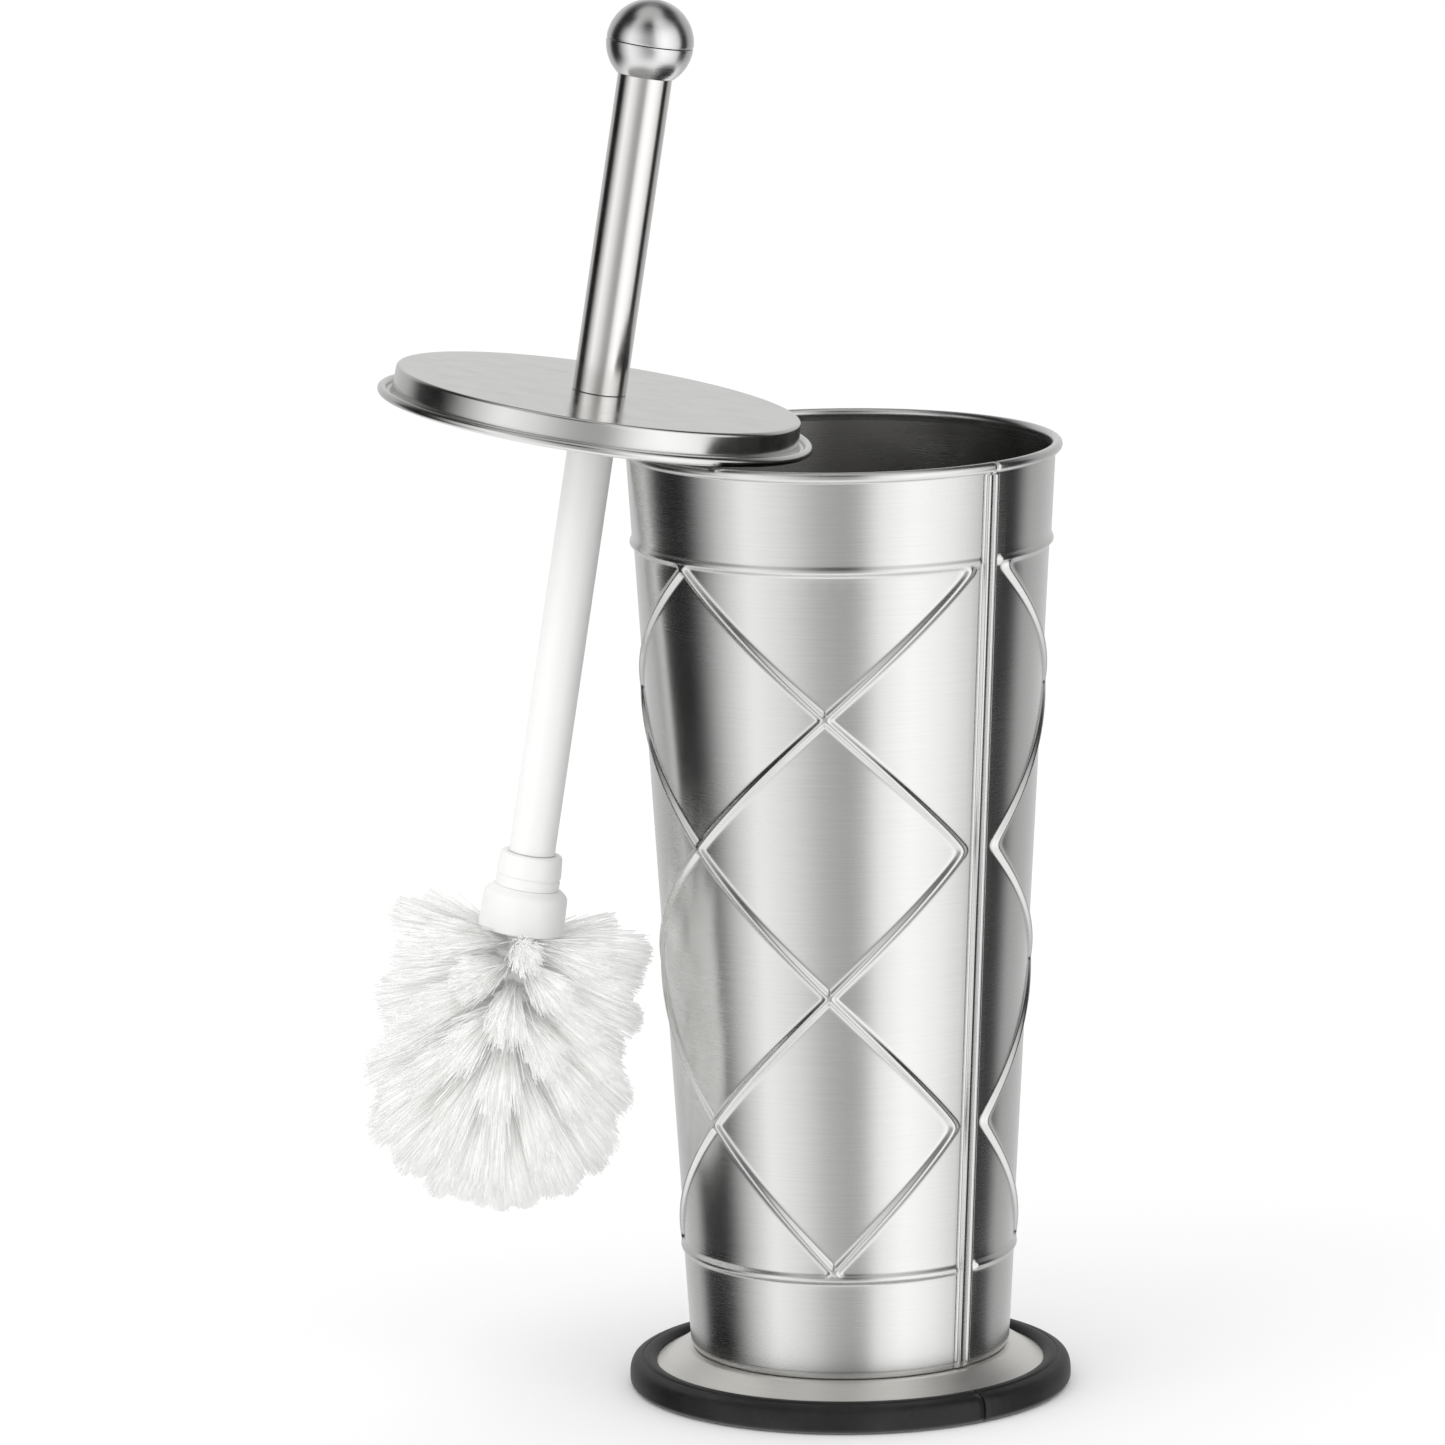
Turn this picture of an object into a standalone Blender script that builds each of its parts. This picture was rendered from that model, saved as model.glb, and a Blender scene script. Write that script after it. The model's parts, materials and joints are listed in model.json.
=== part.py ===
"""Toilet brush holder: a tapered steel canister on a rubber-edged base, with its brush.

The origin is the centre of the base's underside, on the floor. The brush hangs on the -X side:
the edge of its round lid lies on the canister's rim, and its handle leans towards +X. Each sub-part
is one closed solid. Units are metres, +Z is up.
"""
import math

import bpy
from mathutils import Matrix, Vector

# ---------------------------------------------------------------- driving dimensions
GAP = 0.0003                    # clearance between pieces that touch
SHEET = 0.0006                  # steel sheet of the canister, base and lid

BASE_RADIUS = 0.064             # outside of the rubber edge
BASE_HEIGHT = 0.0086            # top of the rubber edge
PLATE_RADIUS = 0.060            # edge of the pressed base plate, inside the rubber
LIP_RADIUS = 0.0561             # inner lip of the rubber edge
PLATE_TOP = 0.0115              # flat middle of the base plate, under the canister
PLATE_EDGE_TOP = 0.0064         # its rim, where the rubber grips it
PLATE_SLOPE = ((0.0470, 0.0115), (0.0488, 0.0109), (0.0545, 0.0073), (0.0566, 0.0065))
SLOPE_SHIFT = ((0.0, 1.0), (0.4, 0.95), (0.6, 0.8), (0.3, 1.0))
CORE_INSET = 0.0005             # the ballast disc stays this far inside the lip
CORE_GAP = 0.00042
CROWN_RADIUS = 0.0042           # upper and lower roundings of the rubber edge
SKIRT_RADIUS = 0.0026
TRIM_EDGE = 0.0005
TRIM_CUT_LENGTH = 0.014
TRIM_CUT_HEIGHT = 0.030
TRIM_JOINT_ANGLE = math.radians(-54.0)
TRIM_JOINT_WIDTH = 0.0004

FOOT_Z = PLATE_TOP + GAP
FOOT_RADIUS = 0.0461            # outside of the wall at its foot
WALL_SLOPE = 0.0583             # the wall's taper, radius gained per unit of height
RIM_Z = 0.2745                  # centre of the rolled rim's bead
RIM_BEAD = 0.0015
RIM_RADIUS = 0.06185            # from the axis to the centre of that bead
TOP_BEAD_Z = 0.2475
BOTTOM_BEAD_Z = 0.0414
BEAD_HEIGHT = 0.0009            # how far the two pressed beads stand out
BEAD_REACH = 0.0026             # half the height of a bead
BEAD_SHAPE = ((0.0024, 0.0), (0.0011, 0.7), (0.0, 1.0), (-0.0012, 0.6))
RIM_TUCK = 0.0017               # the rim's roll leaves the wall this far under its centre
RIM_INNER = 0.0015
PANEL_INSET = 0.0004            # the ribbed panel lies a little inside the plain bands
SEAM_ANGLE = math.radians(-46.5)
SEAM_WIDTH = 0.0042
SEAM_HEIGHT = 0.0010
SEAM_BITE = 0.0003              # how far the strip reaches into the sheet
SEAM_MARGIN = 0.0004            # from its ends to the rim's centre and the foot

RIVET_COUNT = 3
RIVET_CIRCLE = 0.030
RIVET_SHANK = 0.0020
RIVET_HEAD = 0.0040
RIVET_DOME = 0.0011
RIVET_RECESS = 0.0022           # the lower heads sit in the ballast disc
BORE_TOP = 0.020
BORE_LOW = -0.005

TILT = math.radians(9.1)        # the hung brush leans this far from upright
LID_CENTRE = Vector((-0.070, 0.0, 0.2820))
LID_RADIUS = 0.0627
LID_BEAD = 0.0013
LID_TOP_RADIUS = 0.0582
LID_TOP = 0.0089                # height of the lid's raised top over its underside
LID_HOLE = 0.0036
LID_CORNER = 0.0010
LID_CHANNEL = 0.0009            # from the raised top's side to the middle of the channel
LID_CHANNEL_Z = 0.0012
LID_FLARE_Z = 0.0020

TUBE_RADIUS = 0.00775
TUBE_WALL = 0.0007
BALL_RADIUS = 0.01245
BALL_CENTRE = 0.1096            # height of the ball's centre over the lid's underside
BALL_SHEET = 0.0008
TUBE_END = 0.1030
STUD_RADIUS = 0.0030
STUD_END = 0.0300
INSERT_END = 0.0360
INSERT_BORE_END = 0.0315
PLUG_DEPTH = 0.0140             # of the ball's plug inside the tube
PLUG_FLANGE = 0.0095
PLUG_FLANGE_HEIGHT = 0.0022
EDGE = 0.0004                   # small broken edges

STEM_RADIUS = 0.0067
STEM_END = -0.1262
STEM_BORE_END = -0.0200
STEM_BORE_CLEARANCE = 0.0010    # between the stud's end and the bottom of its bore
WASHER_RADIUS = 0.0090
WASHER_THICKNESS = 0.0010
SPIGOT_RADIUS = 0.0050
COLLAR_RADIUS = 0.0094
COLLAR_END = -0.1362
COLLAR_ROUND = 0.0010
COLLAR_STEP = 0.0030            # height of the lower, narrower part of the collar
SOCKET_RADIUS = 0.0124
SOCKET_END = -0.1490
SOCKET_BORE_EXTRA = 0.0016      # how much deeper than the socket its bore is
SPIGOT_EXTRA = 0.0010
SHOULDER_HEIGHTS = (0.0016, 0.0024)
SHOULDER_STEP = 0.0006
CORE_FLARE = 0.0012
CORE_FLARE_HEIGHTS = (0.0008, 0.0036)
CORE_RADIUS = 0.0058
CORE_END = -0.2100

BRISTLE_RADIUS = 0.0390
BRISTLE_TOP = -0.1440
ROW_COUNT = 5
ROW_PITCH = 0.0132
ROW_THICKNESS = 0.0126
TUFTS_PER_ROW = 12
TUFT_VALLEY = 0.0050            # depth of the hollow between two tufts
TIP_END = -0.2330
TIP_INSET = 0.0020
TIP_ANGLES = (30, 50, 70)       # corners of the rounded end, in degrees

ROUND_STEPS = 48
SMALL_STEPS = 20

COLOURS = {
    # name: (base colour, metallic, roughness)
    "brushed_steel": ((0.60, 0.60, 0.59, 1.0), 1.0, 0.32),
    "polished_steel": ((0.66, 0.66, 0.65, 1.0), 1.0, 0.10),
    "rubber": ((0.022, 0.022, 0.022, 1.0), 0.0, 0.55),
    "black_plastic": ((0.030, 0.030, 0.030, 1.0), 0.0, 0.45),
    "white_plastic": ((0.86, 0.86, 0.85, 1.0), 0.0, 0.35),
    "white_bristle": ((0.90, 0.90, 0.89, 1.0), 0.0, 0.50),
}


# ---------------------------------------------------------------- helpers
def clear_scene():
    for obj in list(bpy.data.objects):
        bpy.data.objects.remove(obj, do_unlink=True)


def new_collection(name):
    collection = bpy.data.collections.new(name)
    bpy.context.scene.collection.children.link(collection)
    return collection


def material(kind):
    """One Principled material for each kind of surface."""
    found = bpy.data.materials.get(kind)
    if found:
        return found
    colour, metallic, roughness = COLOURS[kind]
    made = bpy.data.materials.new(kind)
    made.use_nodes = True
    shader = made.node_tree.nodes["Principled BSDF"]
    shader.inputs["Base Color"].default_value = colour
    shader.inputs["Metallic"].default_value = metallic
    shader.inputs["Roughness"].default_value = roughness
    return made


def arc(centre_r, centre_z, radius, start, end, steps):
    """Points of an arc in the (radius, height) half-plane; angles in degrees from outwards."""
    points = []
    for i in range(steps + 1):
        angle = math.radians(start + (end - start) * i / steps)
        points.append((centre_r + radius * math.cos(angle), centre_z + radius * math.sin(angle)))
    return points


def turned(name, profile, kind, parent=None, steps=ROUND_STEPS, collection=None):
    """A turned solid: a profile of (radius, height) points, outer side first, top to bottom.

    A profile that starts and ends on the axis is left open there; any other one is closed.
    """
    on_axis = profile[0][0] == 0.0 and profile[-1][0] == 0.0
    verts = [(radius, 0.0, height) for radius, height in profile]
    edges = [(i, i + 1) for i in range(len(verts) - 1)]
    if not on_axis:
        edges.append((len(verts) - 1, 0))
    mesh = bpy.data.meshes.new(name)
    mesh.from_pydata(verts, edges, [])
    obj = bpy.data.objects.new(name, mesh)
    (collection or PARTS).objects.link(obj)
    mesh.materials.append(material(kind))
    screw = obj.modifiers.new("Turn", "SCREW")
    screw.steps = steps
    screw.render_steps = steps
    screw.use_merge_vertices = True
    screw.merge_threshold = 0.00001
    screw.use_smooth_shade = True
    if parent:
        obj.parent = parent
    return obj


def cutter(obj):
    """Marks an object as a cutter: drawn as wire and never rendered."""
    obj.hide_render = True
    obj.display_type = "WIRE"
    return obj


def block_cutter(name, size, location, rotation_z=0.0):
    bpy.ops.mesh.primitive_cube_add(size=1.0)
    obj = bpy.context.object
    obj.name = name
    obj.data.transform(Matrix.Diagonal((*size, 1.0)))
    obj.location = location
    obj.rotation_euler.z = rotation_z
    for owner in list(obj.users_collection):
        owner.objects.unlink(obj)
    CUTTERS.objects.link(obj)
    return cutter(obj)


def cut(obj, tool, operation="DIFFERENCE"):
    modifier = obj.modifiers.new(tool.name, "BOOLEAN")
    modifier.operation = operation
    modifier.solver = "EXACT"
    modifier.object = tool


def around(radius, angle, height=0.0):
    return Vector((radius * math.cos(angle), radius * math.sin(angle), height))


def wall_radius(height):
    """Outside of the plain wall at a height."""
    return FOOT_RADIUS + WALL_SLOPE * (height - FOOT_Z)


def panel_radius(height):
    return wall_radius(height) - PANEL_INSET


# ---------------------------------------------------------------- base
def make_base_ring():
    groove_top = PLATE_EDGE_TOP + GAP
    groove_bottom = PLATE_EDGE_TOP - SHEET - GAP
    groove_radius = PLATE_RADIUS + GAP
    crown_r = BASE_RADIUS - CROWN_RADIUS
    profile = [(LIP_RADIUS + 0.4 * TRIM_EDGE, BASE_HEIGHT - 2 * TRIM_EDGE)]
    profile += [(LIP_RADIUS + 4 * TRIM_EDGE, BASE_HEIGHT - 0.4 * TRIM_EDGE)]
    profile += arc(crown_r, BASE_HEIGHT - CROWN_RADIUS, CROWN_RADIUS, 90, 0, 4)
    profile += arc(BASE_RADIUS - SKIRT_RADIUS, SKIRT_RADIUS, SKIRT_RADIUS, 0, -90, 3)
    profile += [(LIP_RADIUS + TRIM_EDGE, 0.0), (LIP_RADIUS, TRIM_EDGE), (LIP_RADIUS, groove_bottom)]
    profile += [(groove_radius, groove_bottom), (groove_radius, groove_top), (LIP_RADIUS, groove_top)]
    ring = turned("base_ring", profile, "rubber")
    size = (TRIM_CUT_LENGTH, TRIM_JOINT_WIDTH, TRIM_CUT_HEIGHT)
    place = around(PLATE_RADIUS, TRIM_JOINT_ANGLE)
    cut(ring, block_cutter("trim_joint_cutter", size, place, TRIM_JOINT_ANGLE))


def plate_profile(offset):
    """The base plate's section from the middle to its edge, lowered by an offset."""
    points = []
    for (radius, height), (inward, down) in zip(PLATE_SLOPE, SLOPE_SHIFT):
        points.append((radius - inward * offset, height - down * offset))
    return points


def make_base_plate():
    edge = [(PLATE_RADIUS, PLATE_EDGE_TOP), (PLATE_RADIUS, PLATE_EDGE_TOP - SHEET)]
    under = list(reversed(plate_profile(SHEET)))
    profile = [(0.0, PLATE_TOP)] + plate_profile(0.0) + edge + under + [(0.0, PLATE_TOP - SHEET)]
    return turned("base_plate", profile, "brushed_steel")


def make_base_core():
    """Ballast disc under the plate; its underside is the face that the holder stands on."""
    offset = SHEET + CORE_GAP
    side = LIP_RADIUS - CORE_INSET
    profile = [(0.0, PLATE_TOP - offset)] + plate_profile(offset)[:3]
    profile += [(side, PLATE_EDGE_TOP - offset), (side, CORE_INSET), (side - CORE_INSET, 0.0), (0.0, 0.0)]
    return turned("base_core", profile, "black_plastic")


def make_canister_floor():
    radius = wall_radius(FOOT_Z) - SHEET - GAP
    profile = [(0.0, FOOT_Z + SHEET), (radius, FOOT_Z + SHEET), (radius, FOOT_Z), (0.0, FOOT_Z)]
    return turned("canister_floor", profile, "brushed_steel")


def make_rivets(pierced, core):
    """Three rivets hold the canister's floor, the base plate and the ballast disc together."""
    head_top = FOOT_Z + SHEET + GAP
    head_low = RIVET_RECESS - GAP
    bore_radius = RIVET_SHANK + GAP
    sink_radius = RIVET_HEAD + GAP
    for i in range(RIVET_COUNT):
        centre = around(RIVET_CIRCLE, math.radians(90 + 360 / RIVET_COUNT * i))
        profile = [(0.0, head_top + RIVET_DOME), (0.65 * RIVET_HEAD, head_top + 0.7 * RIVET_DOME)]
        profile += [(RIVET_HEAD, head_top), (RIVET_SHANK, head_top), (RIVET_SHANK, head_low)]
        profile += [(RIVET_HEAD, head_low), (0.95 * RIVET_HEAD, head_low - RIVET_DOME)]
        profile += [(0.0, head_low - RIVET_DOME)]
        rivet = turned(f"base_rivet_{i + 1}", profile, "polished_steel", steps=SMALL_STEPS)
        rivet.location = centre
        bore_profile = [(0.0, BORE_TOP), (bore_radius, BORE_TOP), (bore_radius, BORE_LOW), (0.0, BORE_LOW)]
        bore = turned(f"rivet_bore_{i + 1}", bore_profile, "rubber", steps=SMALL_STEPS, collection=CUTTERS)
        bore.location = centre
        cutter(bore)
        sink_profile = [(0.0, RIVET_RECESS), (sink_radius, RIVET_RECESS), (sink_radius, BORE_LOW)]
        sink_profile += [(0.0, BORE_LOW)]
        sink = turned(f"rivet_sink_{i + 1}", sink_profile, "rubber", steps=SMALL_STEPS, collection=CUTTERS)
        sink.location = centre
        cutter(sink)
        for obj in pierced + [core]:
            cut(obj, bore)
        cut(core, sink)


# ---------------------------------------------------------------- canister
def bead_profile(height):
    """A pressed bead round the wall, read downwards."""
    return [(wall_radius(height + rise) + share * BEAD_HEIGHT, height + rise) for rise, share in BEAD_SHAPE]


def make_canister_wall():
    inner_top = RIM_Z - RIM_INNER
    panel_top = TOP_BEAD_Z - BEAD_REACH
    panel_low = BOTTOM_BEAD_Z + BEAD_REACH
    band_top = BOTTOM_BEAD_Z - BEAD_REACH
    thickness = SHEET + PANEL_INSET
    profile = arc(RIM_RADIUS, RIM_Z, RIM_BEAD, 180, -60, 8)
    profile += [(wall_radius(RIM_Z - RIM_TUCK), RIM_Z - RIM_TUCK)]
    profile += bead_profile(TOP_BEAD_Z)
    profile += [(panel_radius(panel_top), panel_top), (panel_radius(panel_low), panel_low)]
    profile += bead_profile(BOTTOM_BEAD_Z)[1:]
    profile += [(wall_radius(band_top), band_top), (FOOT_RADIUS, FOOT_Z), (FOOT_RADIUS - SHEET, FOOT_Z)]
    profile += [(wall_radius(BOTTOM_BEAD_Z) - thickness, BOTTOM_BEAD_Z)]
    profile += [(wall_radius(TOP_BEAD_Z) - thickness, TOP_BEAD_Z)]
    profile += [(wall_radius(inner_top) - SHEET, inner_top)]
    wall = turned("canister_wall", profile, "brushed_steel")
    add_side_seam(wall)


def add_side_seam(wall):
    """The folded lock seam, a raised strip down the wall from under the rim to the foot."""
    low = FOOT_Z + SEAM_MARGIN
    high = RIM_Z - SEAM_MARGIN
    middle = 0.5 * (low + high)
    length = (high - low) * math.sqrt(1.0 + WALL_SLOPE ** 2)
    depth = SEAM_HEIGHT + SEAM_BITE
    place = around(wall_radius(middle) + 0.5 * depth - SEAM_BITE, SEAM_ANGLE, middle)
    strip = block_cutter("seam_strip_tool", (depth, SEAM_WIDTH, length), place, SEAM_ANGLE)
    strip.rotation_euler.y = math.atan(WALL_SLOPE)
    cut(wall, strip, "UNION")


# ---------------------------------------------------------------- brush: lid and stem
def make_lid(parent):
    """The pressed lid: a raised top, a channel round it and a rolled edge bead."""
    bead_radius = LID_RADIUS - LID_BEAD
    channel = LID_TOP_RADIUS + LID_CHANNEL
    inner = LID_TOP_RADIUS - SHEET
    under = LID_TOP - SHEET
    profile = [(LID_HOLE, LID_TOP)]
    profile += arc(LID_TOP_RADIUS - LID_CORNER, LID_TOP - LID_CORNER, LID_CORNER, 90, 0, 3)
    profile += [(LID_TOP_RADIUS + GAP, LID_FLARE_Z), (channel, LID_CHANNEL_Z)]
    profile += arc(bead_radius, LID_BEAD, LID_BEAD, 190, -130, 10)
    profile += [(channel, LID_CHANNEL_Z - SHEET), (inner + GAP, LID_FLARE_Z), (inner, under - SHEET)]
    profile += [(inner - SHEET, under), (LID_HOLE, under)]
    return turned("lid", profile, "polished_steel", parent)


def make_stem(parent):
    """The washer, the moulded stem with its blind bore, the stud in it and the collar at its end."""
    washer_top = LID_TOP - SHEET - GAP
    washer_low = washer_top - WASHER_THICKNESS
    washer = [(WASHER_RADIUS, washer_top), (WASHER_RADIUS, washer_low)]
    washer += [(LID_HOLE, washer_low), (LID_HOLE, washer_top)]
    turned("lid_washer", washer, "rubber", parent, SMALL_STEPS)

    top = washer_low - GAP
    bore = STUD_RADIUS + GAP
    spigot_end = SOCKET_END - SPIGOT_EXTRA
    stem = [(0.0, STEM_BORE_END), (bore, STEM_BORE_END), (bore, top)]
    stem += [(STEM_RADIUS - EDGE, top), (STEM_RADIUS, top - EDGE), (STEM_RADIUS, STEM_END)]
    stem += [(SPIGOT_RADIUS, STEM_END), (SPIGOT_RADIUS, spigot_end), (0.0, spigot_end)]
    turned("stem", stem, "white_plastic", parent, SMALL_STEPS + 4)

    stud_low = STEM_BORE_END + STEM_BORE_CLEARANCE
    stud = [(0.0, STUD_END), (STUD_RADIUS - EDGE, STUD_END), (STUD_RADIUS, STUD_END - EDGE)]
    stud += [(STUD_RADIUS, stud_low + EDGE), (STUD_RADIUS - EDGE, stud_low), (0.0, stud_low)]
    turned("stem_stud", stud, "polished_steel", parent, SMALL_STEPS)

    collar_top = STEM_END - GAP
    step_z = COLLAR_END + COLLAR_STEP
    inner = SPIGOT_RADIUS + GAP
    collar = [(inner, collar_top)]
    collar += arc(COLLAR_RADIUS - COLLAR_ROUND, collar_top - COLLAR_ROUND, COLLAR_ROUND, 90, 0, 3)
    collar += [(COLLAR_RADIUS, step_z + EDGE), (COLLAR_RADIUS - EDGE, step_z)]
    collar += [(COLLAR_RADIUS - EDGE, COLLAR_END), (inner, COLLAR_END)]
    turned("stem_collar", collar, "white_plastic", parent, SMALL_STEPS + 4)


# ---------------------------------------------------------------- handle
def make_handle(parent):
    tube_start = LID_TOP + GAP
    inner = TUBE_RADIUS - TUBE_WALL
    tube = [(TUBE_RADIUS, TUBE_END), (TUBE_RADIUS, tube_start), (inner, tube_start), (inner, TUBE_END)]
    turned("handle_tube", tube, "polished_steel", parent, SMALL_STEPS + 8)

    plug = inner - GAP
    bore = STUD_RADIUS + GAP
    insert = [(0.0, INSERT_END), (plug - EDGE, INSERT_END), (plug, INSERT_END - EDGE)]
    insert += [(plug, tube_start + GAP), (bore, tube_start + GAP), (bore, INSERT_BORE_END)]
    insert += [(0.0, INSERT_BORE_END)]
    turned("handle_insert", insert, "black_plastic", parent, SMALL_STEPS)

    flange = TUBE_END + GAP
    flange_top = flange + PLUG_FLANGE_HEIGHT
    plug_end = TUBE_END - PLUG_DEPTH
    knob_plug = [(0.0, flange_top), (PLUG_FLANGE - EDGE, flange_top), (PLUG_FLANGE, flange_top - EDGE)]
    knob_plug += [(PLUG_FLANGE, flange), (plug, flange), (plug, plug_end), (0.0, plug_end)]
    turned("knob_plug", knob_plug, "black_plastic", parent, SMALL_STEPS)
    make_ball(parent)


def make_ball(parent):
    """The ball is two pressed cups that meet at a fine seam round the middle."""
    inner = BALL_RADIUS - BALL_SHEET
    seam = math.degrees(0.5 * GAP / BALL_RADIUS)
    neck = math.degrees(math.acos((TUBE_RADIUS + GAP) / BALL_RADIUS))
    inner_neck = math.degrees(math.acos((TUBE_RADIUS + GAP) / inner))
    upper = arc(0.0, BALL_CENTRE, BALL_RADIUS, 90, seam, 7) + arc(0.0, BALL_CENTRE, inner, seam, 90, 6)
    upper[0] = (0.0, BALL_CENTRE + BALL_RADIUS)
    upper[-1] = (0.0, BALL_CENTRE + inner)
    turned("knob_upper", upper, "polished_steel", parent, SMALL_STEPS + 8)
    lower = arc(0.0, BALL_CENTRE, BALL_RADIUS, -seam, -neck, 5)
    lower += arc(0.0, BALL_CENTRE, inner, -inner_neck, -seam, 4)
    turned("knob_lower", lower, "polished_steel", parent, SMALL_STEPS + 8)


# ---------------------------------------------------------------- brush head
def make_head_core(parent):
    bore = SPIGOT_RADIUS + GAP
    top = COLLAR_END - GAP
    bore_end = SOCKET_END - SOCKET_BORE_EXTRA
    upper, lower = SHOULDER_HEIGHTS
    flare_top, flare_low = CORE_FLARE_HEIGHTS
    profile = [(0.0, bore_end), (bore, bore_end), (bore, top), (COLLAR_RADIUS, top)]
    profile += [(SOCKET_RADIUS - SHOULDER_STEP, top - upper), (SOCKET_RADIUS, top - lower)]
    profile += [(SOCKET_RADIUS, SOCKET_END), (CORE_RADIUS + CORE_FLARE, SOCKET_END - flare_top)]
    profile += [(CORE_RADIUS, SOCKET_END - flare_low), (CORE_RADIUS, CORE_END), (0.0, CORE_END)]
    turned("head_core", profile, "white_plastic", parent, SMALL_STEPS + 4)


def tuft_outline(count):
    """Outline of a bristle row seen along the core: one round lobe for each tuft."""
    points = []
    for i in range(count):
        angle = 2.0 * math.pi * i / count
        lobe = abs(math.cos(0.5 * TUFTS_PER_ROW * angle))
        radius = BRISTLE_RADIUS - TUFT_VALLEY * (1.0 - lobe ** 0.5)
        points.append((radius * math.cos(angle), radius * math.sin(angle)))
    return points


def circle_outline(radius, count):
    """Outline of the hole that the core passes through."""
    points = [around(radius, 2.0 * math.pi * i / count) for i in range(count)]
    return [(point.x, point.y) for point in points]


def make_bristle_row(index, parent):
    """One ring of tufts: a flat lobed outline round the core, as thick as the tufts are deep."""
    hole = (SOCKET_RADIUS if index == 0 else CORE_RADIUS) + 2 * GAP
    curve = bpy.data.curves.new(f"bristle_row_{index + 1}", "CURVE")
    curve.dimensions = "2D"
    curve.fill_mode = "BOTH"
    curve.extrude = 0.5 * ROW_THICKNESS
    for points in (tuft_outline(5 * TUFTS_PER_ROW), circle_outline(hole, 16)):
        spline = curve.splines.new("POLY")
        spline.points.add(len(points) - 1)
        spline.use_cyclic_u = True
        for point, (x, y) in zip(spline.points, points):
            point.co = (x, y, 0.0, 1.0)
    obj = bpy.data.objects.new(curve.name, curve)
    PARTS.objects.link(obj)
    obj.parent = parent
    stagger = 0.5 * (index % 2) * 2.0 * math.pi / TUFTS_PER_ROW
    obj.location.z = BRISTLE_TOP - 0.5 * ROW_THICKNESS - ROW_PITCH * index
    obj.rotation_euler.z = stagger
    curve.materials.append(material("white_bristle"))


def make_end_bristles(parent):
    top = BRISTLE_TOP - ROW_PITCH * ROW_COUNT
    height = top - TIP_END
    reach = BRISTLE_RADIUS - TIP_INSET
    profile = [(0.0, top), (reach, top)]
    for degrees in TIP_ANGLES:
        angle = math.radians(degrees)
        profile.append((reach * math.cos(angle), top - height * math.sin(angle)))
    profile += [(0.0, TIP_END)]
    turned("bristle_tip", profile, "white_bristle", parent, SMALL_STEPS + 4)


def make_brush_frame():
    """An empty at the lid's centre, its Z along the handle: every brush piece hangs on it."""
    empty = bpy.data.objects.new("brush_axis", None)
    PARTS.objects.link(empty)
    empty.location = LID_CENTRE
    empty.rotation_euler.y = TILT
    return empty


def main():
    plate = make_base_plate()
    core = make_base_core()
    floor = make_canister_floor()
    make_base_ring()
    make_rivets([plate, floor], core)
    make_canister_wall()

    brush = make_brush_frame()
    make_lid(brush)
    make_stem(brush)
    make_handle(brush)
    make_head_core(brush)
    for index in range(ROW_COUNT):
        make_bristle_row(index, brush)
    make_end_bristles(brush)


clear_scene()
PARTS = new_collection("toilet_brush_holder")
CUTTERS = new_collection("cutters")
main()
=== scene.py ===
"""Looks of the toilet brush holder: pressed steel canister, rubber-edged base, lid, handle and brush.

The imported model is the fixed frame. Every new piece is a numpy surface in the frame's own metres, takes
the place of the plain solid it stands for, and rides on that solid's body.
"""

import json
import logging
import math
from dataclasses import dataclass, field
from enum import Enum
from typing import Any, Sequence

import bmesh
import bpy
import numpy as np
from mathutils import Matrix, Vector

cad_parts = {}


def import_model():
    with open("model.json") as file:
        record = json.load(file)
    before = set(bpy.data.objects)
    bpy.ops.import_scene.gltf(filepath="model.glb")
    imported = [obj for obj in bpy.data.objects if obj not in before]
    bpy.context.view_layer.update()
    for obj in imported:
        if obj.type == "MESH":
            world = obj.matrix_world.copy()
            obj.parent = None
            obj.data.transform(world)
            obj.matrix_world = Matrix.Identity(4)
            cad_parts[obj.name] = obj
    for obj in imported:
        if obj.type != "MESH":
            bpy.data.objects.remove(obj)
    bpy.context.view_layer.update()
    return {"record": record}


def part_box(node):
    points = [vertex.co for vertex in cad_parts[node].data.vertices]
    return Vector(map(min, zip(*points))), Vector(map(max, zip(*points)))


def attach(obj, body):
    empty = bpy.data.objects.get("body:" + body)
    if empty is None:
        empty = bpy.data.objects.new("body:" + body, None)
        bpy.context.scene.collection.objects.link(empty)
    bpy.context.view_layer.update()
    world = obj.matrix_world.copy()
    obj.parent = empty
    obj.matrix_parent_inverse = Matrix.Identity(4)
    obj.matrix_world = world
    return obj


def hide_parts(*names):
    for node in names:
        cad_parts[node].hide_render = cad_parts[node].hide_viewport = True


MM = 0.001
TURN = 2.0 * math.pi
UV_NAME = "surface"
INSIDE_SHIFT = 10.0                     # added to U, in metres, on the inner face of a brushed sheet, where the material paints shade
SLACK = 1e-7                            # lets a grid line that is on an edge count as inside it
WELD = 0.002 * MM                       # points nearer than this are one
LOG = logging.getLogger("holder_looks")


class Slot(Enum):
    """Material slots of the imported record."""

    BRUSHED = "brushed_steel"
    POLISHED = "polished_steel"
    RUBBER = "rubber"
    WHITE = "white_plastic"
    BRISTLES = "bristles"


class Body(Enum):
    """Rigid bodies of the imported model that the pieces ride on."""

    HOLDER = "holder"
    BRUSH = "brush"
    HANDLE = "handle"
    HEAD = "head"


class Side(Enum):
    """The two faces of the canister's sheet."""

    OUTER = "outer"
    INNER = "inner"


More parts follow.
